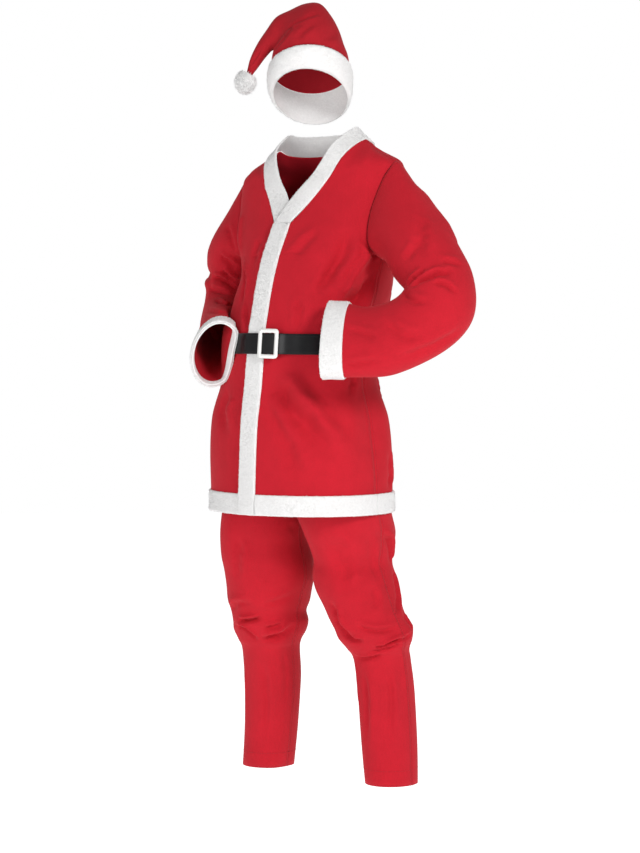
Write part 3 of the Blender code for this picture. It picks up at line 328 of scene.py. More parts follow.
def evenLine(line, count):
    # a line of angles and heights, taken at evenly spaced points on the jacket
    table = Table([(i, *corner) for i, corner in enumerate(line)])
    steps = np.linspace(0, len(line) - 1, 40 * count + 1)
    angle, height = table.at(steps)
    step = np.linalg.norm(np.diff(jacketPoint(np.radians(angle), height), axis=0), axis=1)
    length = np.concatenate([[0], np.cumsum(step)])
    angle, height = table.at(np.interp(np.linspace(0, length[-1], count + 1), length, steps))
    return np.stack([np.radians(angle), height], -1)


def plainPoint(line):
    # points of a line of angles and heights, without folds, tilt and twist
    angle, height = line.T
    return np.stack([*sectionPoint(jacketTable, angle, height), height], -1)


def plainAngle(x, y, height):
    halfWidth, front, back = jacketTable.at(height)
    return np.arctan2(x / halfWidth, (front + back - 2 * y) / (back - front))


def blendPatch(*borders):
    # fills the grid between its bottom, top, left and right lines of angles and heights
    bottom, top, left, right = (plainPoint(line) for line in borders)
    across = np.linspace(0, 1, len(bottom))[None, :, None]
    upward = np.linspace(0, 1, len(left))[:, None, None]
    fromRows = (1 - upward) * bottom[None] + upward * top[None]
    fromColumns = (1 - across) * left[:, None] + across * right[:, None]
    corners = ((1 - upward) * ((1 - across) * bottom[0] + across * bottom[-1])
               + upward * ((1 - across) * top[0] + across * top[-1]))
    x, y, height = np.moveaxis(fromRows + fromColumns - corners, -1, 0)
    return np.stack([plainAngle(x, y, height), height], -1)


def pairs(angles, heights):
    return np.stack(np.broadcast_arrays(angles, np.asarray(heights)[:, None]), -1)


def bandAngles(heights):
    # angles of the front band's columns, from its free edge inwards
    lines = np.linspace(-bandWidth / 2, bandWidth / 2, bandColumns + 1)
    return np.arcsin(lines / jacketTable.at(np.asarray(heights)[:, None])[0])


def onJacket(grid, side, lapped=False):
    points = jacketPoint(side * grid[..., 0], grid[..., 1])
    normals = jacketNormal(side * grid[..., 0], grid[..., 1])
    sideways = 1 - smoothStep(points[..., 0], *lapSideways)
    upward = 1 - smoothStep(points[..., 2], *lapUpwards)
    return Cloth(points, normals, lapStep * sideways * upward if lapped else 0.0)


def frontGrid():
    # angles and heights of one front, from its free edge to the side seam and armhole
    bands = bandAngles(jacketHeights)
    toSide = np.linspace(0, 1, necklineColumns + shoulderColumns + 1)[1:]
    side = bands[:, -1:] + (math.pi / 2 - bands[:, -1:]) * toSide
    lower = pairs(np.hstack([bands, side]), jacketHeights)
    rise = np.linspace(underarmHeight, vBottom, armholeRows + 1)
    bands = pairs(bandAngles(rise), rise)
    neckline = evenLine(necklineLine, necklineColumns)
    neckline[0] = bands[-1, -1]
    top = np.vstack([neckline[:-1], evenLine(shoulderSeam, shoulderColumns)])
    armhole = evenLine(armholeFront, armholeRows)
    upper = blendPatch(lower[-1, bandColumns:], top, bands[:, -1], armhole)
    return np.concatenate([lower, np.hstack([bands[:, :-1], upper])[1:]])


def halfBackGrid():
    # angles and heights of half the back, from the side seam to the centre
    angles = np.linspace(math.pi / 2, math.pi, shoulderColumns + backNeckColumns + 1)
    lower = pairs(angles, jacketHeights)
    rise = np.linspace(underarmHeight, backNeck, armholeRows + 1)
    top = np.vstack([evenLine(shoulderSeam, shoulderColumns)[:0:-1],
                     evenLine(backNeckLine, backNeckColumns)])
    armhole, middle = evenLine(armholeBack, armholeRows), pairs([math.pi], rise)[:, 0]
    upper = blendPatch(lower[-1], top, armhole, middle)
    return np.concatenate([lower, upper[1:]])


def collarGrid():
    # half of the collar: its rows run across it and its columns along the neckline
    seam, edge = (np.vstack([evenLine(front, necklineColumns), evenLine(back, backNeckColumns)[1:]])
                  for front, back in ((necklineLine, backNeckLine), (collarFront, collarBehind)))
    across = np.linspace(0, 1, bandColumns + 1)[:, None, None]
    return seam * (1 - across) + edge * across


# How far the strap stands out from the jacket, by its place across the body.
beltStandoff = Table(((-110, strapGap * metre), (-50, 4), (-23.5, 8.8), (0, 10.4), (64, 10.4),
                      (92, 5), (140, strapGap * metre)), metre)

# Each arm lies in the plane of its upper arm and forearm. The rows cut it across: the end of
# the cut in the crook of the arm and the end on the outer side, each by its distance down the
# upper arm and its distance outwards from it, then half the width square to that plane. The
# ends of a sleeve's folds are counted in rows.
armsRows = {
    "left": {
        "joints": ((205, 10, 1395), (376, -46, 1174), (177, -205, 1082)),
        "rows": (
            (45, -78, 30, 75, 88), (90, -72, 90, 78, 80), (135, -67, 145, 84, 76),
            (175, -64, 195, 88, 74), (205, -58, 245, 88, 73), (222, -57, 295, 76, 73),
            (231, -63, 336, 56, 73), (236, -73, 366, 26, 71), (239, -86, 386, -18, 69),
            (240, -103, 398, -68, 65), (236, -125, 401, -122, 60), (228, -150, 394, -174, 53),
            (208, -176, 363, -250, 47), (196, -195, 351, -272, 46), (184, -215, 339, -294, 45),
        ),
        "folds": (
            (250, 0, 2, 5, 26, -4), (292, 0, 3.5, 8, 24, -5), (330, 0, 4.2, 8.5, 24, 4),
            (205, 0, 4.5, 8.5, 24, -5), (262, 0, 6, 10.5, 26, 4), (232, 0, 7.5, 11.5, 24, -4),
            (120, 0, 7, 11, 28, -4), (80, 0, 2.5, 6, 28, 4),
        ),
    },
    "right": {
        "joints": ((-220, 6, 1385), (-292, 12, 1175), (-90, -233, 1074)),
        "rows": (
            (35, -78, 30, 76, 76), (70, -74, 75, 78, 69), (105, -71, 118, 78, 62),
            (135, -69, 158, 76, 57), (155, -69, 198, 70, 52), (168, -75, 236, 56, 49),
            (176, -86, 268, 28, 47), (181, -102, 289, -14, 46), (184, -124, 300, -64, 45),
            (185, -156, 308, -118, 45), (186, -200, 316, -180, 46), (187, -250, 323, -240, 47),
            (188, -284, 328, -274, 48), (188.5, -305, 330.5, -295, 48.5),
            (189, -326, 333, -316, 49),
        ),
        "folds": (
            (250, 0, 2, 5.5, 26, -4), (292, 0, 4, 8, 24, -5), (60, 0, 4.5, 8.5, 26, -4),
            (210, 0, 5.5, 9.5, 24, -5), (300, 0, 7, 11, 26, 4), (110, 0, 7.5, 11.5, 26, 4),
        ),
    },
}
cuffRows = 2             # rows under the cuff band
sleeveClearance = (0.0025, 0.0045, 0.0050, 0.0055)   # by row, least distance from the jacket
sleeveBlends = (0.35, 0.75)   # how far the first rows go from the armhole's shape to their own
armholeGap = 0.0006      # how far outside the jacket the sleeve starts
besideBelt = (0.024, 0.046)   # how far above and below the belt's middle sleeves mind the belt


def keepClear(points, gap):
    # moves points sideways until they lie at least this far outside the jacket and belt
    x = points[..., 0]
    lift = smoothStep(points[..., 2], shoulderStart, shoulderFull) * x
    height = points[..., 2] - shoulderTilt * lift
    surface = jacketPoint(plainAngle(x, points[..., 1] - shoulderTwist * lift, height), height)
    middle = jacketTable.at(height)[1:].mean(axis=0)
    centre = np.stack([0 * x, middle + shoulderTwist * lift], -1)
    outward = points[..., :2] - centre
    distance = np.linalg.norm(outward, axis=-1)
    belt = 1 - smoothStep(np.abs(height - beltMiddle), *besideBelt)
    away = beltStandoff.at(x)[0] * (points[..., 1] - shoulderTwist * lift < 0) + beltThickness
    needed = np.linalg.norm(surface[..., :2] - centre, axis=-1) + gap + belt * away
    moved = points.copy()
    moved[..., :2] = centre + outward * (np.maximum(distance, needed) / distance)[..., None]
    return moved


def sleeveCloth(arm, front, back, backColumn):
    # The armhole's points run from the underarm up the front edge and down the back edge.
    first = len(jacketHeights) - 1
    loop = np.vstack([front.points[first:, -1], back.points[first:, backColumn][::-1][1:-1]])
    shoulder, elbow, cuff = np.array(arm["joints"]) / metre
    down, forearm = unit(elbow - shoulder), unit(cuff - elbow)
    outward = unit(down * np.dot(forearm, down) - forearm)
    across = np.cross(down, outward)
    spokes = loop - loop.mean(axis=0)
    turns = np.arctan2(spokes @ across, spokes @ outward)
    sense = np.sign(np.sin(turns[len(loop) // 4] - turns[0]))
    angles = turns[0] + sense * np.linspace(0, 2 * math.pi, len(loop), endpoint=False)
    rings = [keepClear(loop + down * seamGap, armholeGap)]
    for number, row in enumerate(arm["rows"]):
        inDown, inOut, outDown, outOut, halfCross = np.array(row) / metre
        crook = shoulder + down * inDown + outward * inOut
        outer = shoulder + down * outDown + outward * outOut
        half = (outer - crook) / 2
        swell = 1 + foldAt(arm["folds"], angles, number + 1) / np.linalg.norm(half)
        ring = ((crook + outer) / 2 + np.outer(np.cos(angles) * swell, half)
                + np.outer(np.sin(angles) * swell * halfCross, across))
        if number < len(sleeveBlends):
            moved = loop + down * (inDown + outDown) / 2
            ring = moved + (ring - moved) * sleeveBlends[number]
        rings.append(keepClear(ring, sleeveClearance[min(number, len(sleeveClearance) - 1)]))
    return ringCloth(rings)


# Sections of the trousers' top: height, half width, front and back of the outline.
crotchHeight = 0.800
pelvisEnd = 0.930        # above this height the legs have the body's section
pelvisTable = Table((
    (780, 193, -168, 110), (860, 190, -180, 104), (920, 184, -192, 94), (980, 174, -200, 84),
    (1030, 172, -205, 86), (1062.5, 172.9, -203.9, 86.9),
), metre)
# Sections of each leg: height, centre across and from front to back, half width, half depth.
legsRows = {
    "left": Table((
        (870, 98, -42, 98, 126), (800, 98, -45, 98, 120), (720, 104, -36, 101, 112),
        (665, 104, -16, 92, 117), (608, 107, -10, 80, 93), (555, 115, -4, 84, 98),
        (494, 132, 4, 85, 88), (463, 142, 13, 88, 89), (437, 147, 19, 84, 84),
        (412, 151, 28, 70, 72), (385, 153, 40, 64, 66), (300, 155, 52, 63, 67),
        (110, 157, 67, 56, 60),
    ), metre),
    "right": Table((
        (870, -98, -42, 98, 126), (800, -98, -46, 98, 122), (700, -108, -46, 96, 114),
        (634, -117, -32, 94, 114), (559, -128, -22, 90, 99), (510, -137, -12, 92, 97),
        (484, -144, -8, 86, 87), (458, -146, -4, 87, 87), (430, -147, 0, 80, 80),
        (405, -149, 8, 68, 70), (385, -154, 18, 64, 66), (300, -172, 45, 63, 67),
        (110, -215, 78, 56, 60),
    ), metre),
}
legHeights = np.array((
    1062, 1020, 980, 940, 900, 865, 832, 800, 760, 715, 670, 635, 605, 575, 540, 505, 480, 457,
    435, 412, 388, 320, 215, 110,
)) / metre
legHalfColumns = 9
legFolds = {
    "left": (
        (20, -40, 390, 490, 26, -6), (70, -50, 400, 520, 26, -6), (110, 30, 400, 500, 24, 6),
        (165, -30, 390, 500, 26, -6), (215, 30, 400, 510, 26, 6), (290, 40, 390, 500, 26, -6),
        (60, -60, 560, 660, 26, -7), (330, 30, 540, 800, 18, -6), (150, -20, 540, 780, 18, -6),
    ),
    "right": (
        (10, 45, 390, 480, 26, -6), (75, -40, 400, 500, 26, -6), (130, 30, 395, 490, 24, 6),
        (185, -30, 390, 490, 26, -6), (250, 30, 400, 500, 26, 6), (310, -40, 390, 490, 24, -6),
        (345, 20, 520, 780, 18, -6), (30, -20, 500, 760, 18, 6), (160, 20, 540, 780, 18, -6),
    ),
}


def legCloth(name):
    # One leg, from the waist to the ankle: the columns run from the inner edge in front to the
    # side and on to the inner edge behind, and the two inner edges meet below the crotch.
    side = 1 if name == "left" else -1
    part = np.linspace(0, 1, 2 * legHalfColumns + 1)
    bodyAngle, legAngle, height = part * math.pi, (part * 2 - 0.5) * math.pi, legHeights[:, None]
    fold = foldAt(jacketFolds, side * bodyAngle, height * metre) * (height > crotchHeight)
    x, y = sectionPoint(pelvisTable, bodyAngle, height, fold, squarer(bodyAngle))
    centreX, centreY, halfWidth, halfDepth = legsRows[name].at(height)
    fold = foldAt(legFolds[name], legAngle, height * metre)
    legX = side * centreX + (halfWidth + fold) * np.sin(legAngle)
    legY = centreY - (halfDepth + fold) * np.cos(legAngle)
    share = 1 - smoothStep(height, crotchHeight, pelvisEnd)
    x, y = side * np.maximum(x + (legX - x) * share, 0), y + (legY - y) * share
    points = np.stack([x, y, np.broadcast_to(height, x.shape)], -1)
    around = np.gradient(points, axis=1)
    below = legHeights <= crotchHeight
    for column in (0, -1):
        around[below, column] = points[below, 1] - points[below, -2]
    normals = unit(np.cross(around, np.gradient(points, axis=0)))
    if np.sum(normals[..., 0] * side * (x * side > 0.1)) < 0:
        normals = -normals
    for column in (0, -1):
        normals[~below, column, 0] = 0
    return Cloth(points, unit(normals))


# The hat is turned to the wearer's left and stands on its own, above the neck.
hatTurn = math.radians(38)
hatPlace = (-0.001, -0.027, 0)
hatFrame = Matrix.Translation(hatPlace) @ Matrix.Rotation(hatTurn, 4, "Z")
hatHalfColumns = 9
# Each row cuts the hat across: the end beside the hanging tip, the end beyond it, each by its
# place across the head and its height, half the depth, and how much the front is lifted.
bandRows = (
    (-81.5, 1632, 84.5, 1622, 99, 55), (-88, 1650, 88.5, 1643, 103, 53),
    (-88.5, 1669, 89.5, 1666, 103, 50), (-86, 1686.7, 88.5, 1686.7, 99, 47),
)
crownRows = (
    (-85.4, 1687.7, 88.4, 1687.7, 98, 47), (-85, 1702, 85, 1711, 97, 44),
    (-83.8, 1713, 76.1, 1735, 93, 38), (-82.1, 1720, 65, 1768.5, 85, 30),
    (-80.5, 1724, 47.3, 1801.7, 72, 20), (-79.8, 1727, 23, 1829, 56, 10),
    (-80.5, 1728.5, -10.2, 1830, 42, 4), (-82.5, 1728, -45.6, 1816, 32, 0),
    (-86.2, 1725, -74.3, 1802, 26, 0), (-92.5, 1718, -95.4, 1775.2, 21, 0),
    (-103.1, 1706, -115.3, 1745.3, 17, 0), (-115, 1690.5, -131.5, 1711, 13, 0),
    (-127, 1675.2, -139.2, 1681.2, 8, 0),
)


def hatCloth(rows):
    turned = np.array(hatFrame)
    angles = np.linspace(0, 2 * math.pi, 2 * hatHalfColumns, endpoint=False)
    rings = []
    for inX, inHeight, outX, outHeight, halfDepth, lift in np.array(rows) / metre:
        near, far = np.array([inX, 0, inHeight]), np.array([outX, 0, outHeight])
        front = np.array([0, -math.sqrt(halfDepth ** 2 - lift ** 2), lift])
        ring = (near + far) / 2 + np.outer(np.cos(angles), (far - near) / 2)
        rings.append((ring + np.outer(np.sin(angles), front)) @ turned[:3, :3].T + turned[:3, 3])
    return ringCloth(rings)


print("surfaces ready")


class Wire:
    # a node's socket that takes part in sums, so that a pattern reads as a formula
    def __init__(self, tree, socket):
        self.tree, self.socket = tree, socket

    def beside(self, output):
        # another output of the same node
        return Wire(self.tree, self.socket.node.outputs[output])

    def sum(self, operation, first, second):
        return node(self.tree, "ShaderNodeMath", {0: first, 1: second}, operation=operation)

    def __add__(self, other):
        return self.sum("ADD", self, other)

    def __sub__(self, other):
        return self.sum("SUBTRACT", self, other)

    def __mul__(self, other):
        return self.sum("MULTIPLY", self, other)


def setInputs(made, inputs):
    for key, value in inputs.items():
        socket = made.inputs[key]
        if isinstance(value, Wire):
            value.tree.links.new(value.socket, socket)
        else:
            socket.default_value = (*value, 1) if socket.type == "RGBA" else value


def node(tree, kind, inputs=None, output=0, **settings):
    made = tree.nodes.new(kind)
    for key, value in settings.items():
        setattr(made, key, value)
    setInputs(made, inputs or {})
    return Wire(tree, made.outputs[output])


def startMaterial(name):
    material = bpy.data.materials.new(name)
    material.use_nodes = True
    return material, node(material.node_tree, "ShaderNodeTexCoord", output=3)


def noise(place, scale, detail=2.0, rough=0.5, stretch=None):
    if stretch:
        place = node(place.tree, "ShaderNodeMapping", {0: place, 3: stretch})
    return node(place.tree, "ShaderNodeTexNoise",
                {"Vector": place, "Scale": scale, "Detail": detail, "Roughness": rough})


def mixColour(factor, first, second):
    return node(factor.tree, "ShaderNodeMix", {0: factor, 6: first, 7: second}, output=2,
                data_type="RGBA", clamp_factor=True)


def finishMaterial(material, height, depth, strength, inputs):
    relief = node(height.tree, "ShaderNodeBump",
                  {"Height": height, "Distance": depth, "Strength": strength})
    setInputs(material.node_tree.nodes["Principled BSDF"], {**inputs, "Normal": relief})
    return material


feltLook = {"deep": (0.31, 0.004, 0.010), "bright": (0.53, 0.008, 0.021), "nap": 0.0009,
            "sheen": 0.08, "tint": (1.0, 0.35, 0.35)}
# the same felt darkened for the hat: painted shade that stands in for the weaker light falling on
# it
shadedHatFeltLook = {**feltLook, "deep": (0.22, 0.003, 0.007), "bright": (0.40, 0.007, 0.016)}


def feltMaterial(name, look):
    # brushed felt: cloudy colour, a short nap lying in patches, fine stray fibres
    material, place = startMaterial(name)
    cloud, patch = noise(place, 7.0, 3.0, 0.6), noise(place, 38.0, 2.0, 0.55)
    nap = noise(place, 420.0, 2.0, 0.6)
    lying = noise(place, 260.0, 2.0, 0.5, (1.0, 1.0, 0.22))
    fibre = noise(place, 1300.0, 1.0, 0.5, (1.0, 0.4, 0.25))
    tone = cloud * 0.45 + 0.30 + patch * 0.30 + (nap + fibre - 1.0) * 0.45
    height = nap * 0.5 + lying * 0.35 + fibre * 0.3 + patch * 0.6
    return finishMaterial(material, height, look["nap"], 0.55, {
        "Base Color": mixColour(tone, look["deep"], look["bright"]),
        "Roughness": nap * 0.18 + 0.80, "Sheen Weight": look["sheen"], "Sheen Roughness": 0.45,
        "Sheen Tint": look["tint"], "Specular IOR Level": 0.25})


# the hollowShade colour is painted shade between the clumps; the tip colour is the pile's own white
plushLook = {"hollowShade": (0.69, 0.685, 0.680), "tip": (0.82, 0.815, 0.810), "pile": 0.0028,
             "glow": 0.12}
fluffLook = {"hollowShade": (0.95, 0.945, 0.94), "tip": (0.98, 0.975, 0.97), "pile": 0.0004,
             "glow": 0.12}


def plushMaterial(name, look):
    # short white pile in small clumps; the grey between them is painted shade in the hollows, mixed
    # with random strand and drift tone
    material, place = startMaterial(name)
    drift, clump = noise(place, 30.0), noise(place, 210.0, 3.0, 0.62)
    strand = noise(place, 700.0, 2.0, 0.6, (1.0, 1.0, 0.5))
    height = clump * 0.65 + strand * 0.4 + drift * 0.5
    # painted shade: greyer where the clumps are low, from the same noise as the height, plus random
    # tone from strands and drift
    tone = clump * 1.25 + strand * 0.5 + drift * 0.2 - 0.42
    return finishMaterial(material, height, look["pile"], 0.6, {
        "Base Color": mixColour(tone, look["hollowShade"], look["tip"]), "Roughness": 0.96,
        "Sheen Weight": 0.5, "Sheen Roughness": 0.6, "Subsurface Weight": look["glow"],
        "Subsurface Radius": (0.004, 0.004, 0.004), "Subsurface Scale": 1.0,
        "Specular IOR Level": 0.2})


vinylLook = {"base": (0.004, 0.004, 0.005), "worn": (0.009, 0.009, 0.010), "grain": 0.00022}


def vinylMaterial(name, look):
    # coated belting with a fine leather grain and dull rubbed patches
    material, place = startMaterial(name)
    grain = node(place.tree, "ShaderNodeTexVoronoi", {"Vector": place, "Scale": 620.0},
                 feature="SMOOTH_F1")
    rubbed = noise(place, 24.0, 4.0, 0.65)
    scuff = noise(place, 160.0, 3.0, 0.7, (0.12, 0.12, 1.0))
    tone = rubbed * 0.9 + scuff * 0.5 - 0.35
    return finishMaterial(material, grain * 0.8 + scuff * 0.12, look["grain"], 0.5, {
        "Base Color": mixColour(tone, look["base"], look["worn"]),
        "Roughness": rubbed * 0.16 + 0.22 + scuff * 0.04, "Coat Weight": 0.06,
        "Coat Roughness": 0.15, "Specular IOR Level": 0.28})


plasticLook = {"base": (0.86, 0.86, 0.84), "soiled": (0.74, 0.735, 0.71)}


def plasticMaterial(name, look):
    # moulded white plastic, faintly wavy from the mould
    material, place = startMaterial(name)
    flow, speck = noise(place, 70.0), noise(place, 900.0, 2.0, 0.6)
    tone = flow * 0.8 + speck * 0.3 - 0.25
    return finishMaterial(material, flow * 0.6 + speck * 0.12, 0.0006, 0.35, {
        "Base Color": mixColour(tone, look["base"], look["soiled"]),
        "Roughness": flow * 0.14 + 0.24, "Coat Weight": 0.2})


def threadMaterial(name, colour):
    material, place = startMaterial(name)
    twist = noise(place, 1500.0, 1.0)
    shade = tuple(c * 0.7 for c in colour)
    return finishMaterial(material, twist, 0.0002, 0.6, {
        "Base Color": mixColour(twist, shade, colour), "Roughness": twist * 0.2 + 0.6})


felt = feltMaterial("brushed red felt", feltLook)
# the hat's felt is the suit's felt with painted shade, not a darker cloth
shadedHatFelt = feltMaterial("brushed red felt with painted hat shade", shadedHatFeltLook)
plush = plushMaterial("short white plush", plushLook)
fluff = plushMaterial("long white plush", fluffLook)
vinyl = vinylMaterial("glossy black vinyl", vinylLook)
plastic = plasticMaterial("white moulded plastic", plasticLook)
redThread = threadMaterial("red sewing thread", (0.34, 0.006, 0.012))
blackThread = threadMaterial("black sewing thread", (0.020, 0.020, 0.021))
trimPieces = {}
print("finishes ready")


def addObject(name, data):
    made = bpy.data.objects.new(name, data)
    bpy.context.scene.collection.objects.link(made)
    return made


def addPiece(name, mesh, finish, *nodes):
    mesh.materials.clear()
    mesh.materials.append(finish)
    mesh.shade_smooth()
    piece = addObject(name, mesh)
    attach(piece, "root")
    if nodes:
        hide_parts(*nodes)
    return piece


def wallMesh(name, cloth, inner, outer):
    # a closed wall between two layers over the cloth
    outPoints, inPoints = cloth.layer(outer), cloth.layer(inner)
    rows, columns = outPoints.shape[:2]
    rightUp = outPoints[1:, 1:] - outPoints[:-1, :-1]
    leftUp = outPoints[1:, :-1] - outPoints[:-1, 1:]
    if np.sum(np.cross(rightUp, leftUp) * cloth.normals[:-1, :-1]) < 0:
        outPoints, inPoints = outPoints[:, ::-1], inPoints[:, ::-1]
    points = np.vstack([outPoints.reshape(-1, 3), inPoints.reshape(-1, 3)])
    points[:, 2] -= neckHeight
    behind = rows * columns
    index = np.arange(behind).reshape(rows, columns)
    if cloth.closed:
        index = np.hstack([index, index[:, :1]])
    a, b, c, d = index[:-1, :-1], index[:-1, 1:], index[1:, 1:], index[1:, :-1]
    quads = [np.stack(corners, -1).reshape(-1, 4) for corners in ((a, b, c, d), (d, c, b, a))]
    quads[1] += behind
    edges = [(index[0, 1:], index[0, :-1]), (index[-1, :-1], index[-1, 1:])]
    if not cloth.closed:
        edges += [(index[:-1, 0], index[1:, 0]), (index[1:, -1], index[:-1, -1])]
    for start, end in edges:
        quads.append(np.stack([start, end, end + behind, start + behind], -1))
    mesh = bpy.data.meshes.new(name)
    mesh.from_pydata(points.tolist(), [], np.vstack(quads).tolist())
    outside = mesh.attributes.new("outside", "FLOAT", "POINT")
    outside.data.foreach_set("value", np.repeat([1.0, 0.0], behind))
    return mesh


def cutFrom(name, cloth):
    # tells how large a flat piece this one is cut from
    width, length, area = cloth.flatSize()
    print(f"{name}: cut {width:.3f} x {length:.3f} m, {area:.3f} square metres")


def addShell(name, cloth, finish=felt, inner=-clothWall, outer=0.0):
    piece = addPiece(f"{name}_cloth", wallMesh(name, cloth, inner, outer), finish, name)
    cutFrom(name, cloth)


rolledEdge = np.array([0, 0.04, 0.15, 0.36, 0.66, 1.0])     # where its rows lie, as parts of it


def spread(count, edge, length, ends):
    # places along a strip, closer together at its rolled ends
    roll = rolledEdge * edge / length
    middle = np.linspace(roll[-1], 1 - roll[-1], count)
    start = roll[:-1] if ends[0] else [0.0]
    finish = (1 - roll[:-1])[::-1] if ends[1] else [1.0]
    return np.concatenate([start, middle, finish])


def rolled(places, edge, length, ends):
    # how full the strip is at these places: round at its rolled ends
    away = np.ones(len(places))
    for rounded, distance in zip(ends, (places, 1 - places)):
        if rounded:
            away = np.minimum(away, distance * length / edge)
    return np.sqrt(np.clip(1 - (1 - np.clip(away, 0, 1)) ** 2, 0, 1))


def sampled(cloth, rowPlaces, columnPlaces):
    # the cloth's grid at these rows and columns, as parts of its length and width
    def take(grid, places):
        step = places * (len(grid) - 1)
        low = np.minimum(np.floor(step).astype(int), len(grid) - 2)
        part = (step - low).reshape(-1, *([1] * (grid.ndim - 1)))
        return grid[low] * (1 - part) + grid[low + 1] * part

    def both(grid):
        columns = np.swapaxes(take(np.swapaxes(grid, 0, 1), columnPlaces), 0, 1)
        return take(columns, rowPlaces)

    points, normals, rise = (both(grid) for grid in cloth.grids())
    return Cloth(points, unit(normals), rise)


bandLook = {"thickness": 0.0036, "edge": 0.0036, "waviness": 0.0005}
bandFloor = 0.0006       # thickness at the very edge
bandStep = 0.006         # size of the strips' grid


def addBand(name, cloth, rounded=(True, True, True, True), under=layerGap, look=bandLook,
            counts=None, shape=None, finish=None):
    # A strip, slightly uneven and rolled along its free edges: rounded says which of its
    # bottom, top, start and end are free.
    wrapped, sides = cloth, rounded[2:]
    if cloth.closed:
        wrapped = Cloth(*(np.hstack([grid, grid[:, :1]]) for grid in cloth.grids()))
        sides = (False, False)
    width, length, area = wrapped.flatSize()
    counts = counts or [max(8, int(size / bandStep)) for size in (length, width)]
    rowPlaces = spread(counts[0], look["edge"], length, rounded[:2])
    columnPlaces = spread(counts[1], look["edge"], width, sides)
    profile = np.minimum.outer(rolled(rowPlaces, look["edge"], length, rounded[:2]),
                               rolled(columnPlaces, look["edge"], width, sides))
    strip = sampled(wrapped, rowPlaces, columnPlaces)
    x, y, z = np.moveaxis(strip.points, -1, 0)
    uneven = (np.sin(x * 210 + z * 160 + y * 90) + np.sin(y * 260 - z * 240 + 1)
              + np.sin(z * 390 + x * 130 + 2))
    height = bandFloor + (look["thickness"] - bandFloor + look["waviness"] * uneven / 2) * profile
    height = (height * shape(strip) if shape else height) + under
    if cloth.closed:
        strip, height = strip.cut(columns=slice(-1)), height[:, :-1]
        strip.closed = True
    piece = addPiece(f"{name}_trim", wallMesh(name, strip, under, height), finish or plush, name)
    if not finish:
        trimPieces[name] = piece
    cutFrom(name, wrapped)


jacketLook = {"rows": 8, "columns": 4, "waves": 0.0012, "folds": 2.5, "seed": 2,
              "calmBelt": 0.075, "calmSeam": 6}
jacketCreases = {
    "left": (
        (14.9, 12, 13, 11, 11.6, 8.8, 15, 7.5), (18.1, 9.5, 14.8, 7.5, 13.1, 7, 16, 6),
        (18, 11.8, 14.2, 8.8, 11.9, 7.8, 7, 2.6), (9.2, 3.5, 6.5, 5.8, 3.9, 8.5, 18, 5.5),
        (7.5, 3, 4.9, 5, 2.9, 6, 14, 3.4), (7.2, 12, 5.2, 12, 3.2, 12, 11, 5.5),
        (18, 12, 14, 9.2, 11.1, 7.2, 13, -4.5), (9.4, 5.2, 6.5, 7.2, 4, 9.8, 14, -3.6),
        (8.4, 4.5, 6.6, 5.2, 4.8, 7, 14, 2.2), (7.6, 12, 5.9, 12, 4.8, 12, 12, 5),
        (12.5, 8.5, 13.1, 10.5, 14.1, 12, 13, 5.5), (14.9, 11.5, 14.5, 12, 14, 12, 6, 5),
        (18.8, 12, 16.8, 12, 15, 11.5, 9, 3.5), (13, 6.5, 14.1, 7.2, 15.4, 8.2, 9, 2.6),
        (11.2, 5.5, 11.9, 5.5, 13, 5.2, 6, 3), (11.2, 7.5, 11.8, 8.2, 12.4, 9.5, 7, 3.2),
        (14.8, 4, 17, 4.8, 17.6, 6.2, 10, 2), (10.1, 9.8, 9.1, 10.8, 7.5, 10, 7, 3),
    ),
    "right": (
        (20.2, 11, 17.9, 9.2, 14.6, 7, 7, 4.5), (14.9, 6.5, 13.8, 4.8, 12.4, 4.8, 6, 5),
        (8.1, 5, 6.4, 5.5, 4.8, 4.5, 13, 3), (11.1, 2.8, 11.8, 3.8, 12.8, 4, 6, 3),
        (19.2, 4, 16.4, 4.2, 14, 3.8, 9, 2.4),
    ),
    "back": (
        (9, 3, 6.5, 4.5, 3.5, 4, 10, 5), (9.3, 7.6, 6.2, 6.8, 4, 7.6, 9, 4),
        (9, 13.6, 6.6, 12.6, 3.4, 13.8, 11, 5.2), (9.2, 17, 7, 16, 5, 16.6, 8, 3.6),
        (9.4, 10.2, 7.6, 10.8, 5.8, 10.4, 7, 3), (11.6, 4.6, 13.4, 5.4, 16, 4.4, 9, 4.2),
        (11.7, 8.8, 14, 9.6, 16.2, 9, 8, 3.6), (11.6, 15.6, 13.4, 14.6, 16.4, 15.4, 10, 4.4),
        (11.5, 12.2, 12.8, 12, 14.6, 12.6, 7, 3), (15.4, 1.4, 17, 3.2, 19, 6, 10, 5.2),
        (15.2, 18.6, 17.2, 16.8, 19.4, 14, 11, 5), (20, 5.6, 18, 7.2, 15.6, 8, 12, 3.6),
        (20.4, 14.2, 18, 12.8, 15, 12.2, 12, 3.8), (4.4, 2, 3, 2.4, 2.2, 2, 8, 3),
        (4, 17.4, 3, 17.8, 2.2, 17.2, 8, 3.2), (22, 9, 20, 9.8, 17.6, 9.6, 14, 2.6),
    ),
}


def shapeJacket(name, cloth):
    fine = cloth.finer(jacketLook["rows"], jacketLook["columns"])
    calm = 1 - bump(fine.points[..., 2] - beltMiddle, jacketLook["calmBelt"])
    soften(fine, jacketLook["waves"] * calm, jacketLook["seed"])
    place = np.arange(fine.points.shape[1])
    fromSeam = place[::-1] if name != "back" else np.minimum(place, place[::-1])
    fade = smoothStep(fromSeam, 0, jacketLook["calmSeam"])
    crease(fine, jacketCreases[name], jacketLook, fade)
    return fine


def mirrored(grid, lapped=False):
    # both halves of a piece, joined at its middle
    right = onJacket(grid, -1).cut(columns=slice(-2, None, -1))
    return onJacket(grid, 1, lapped).joined(right)


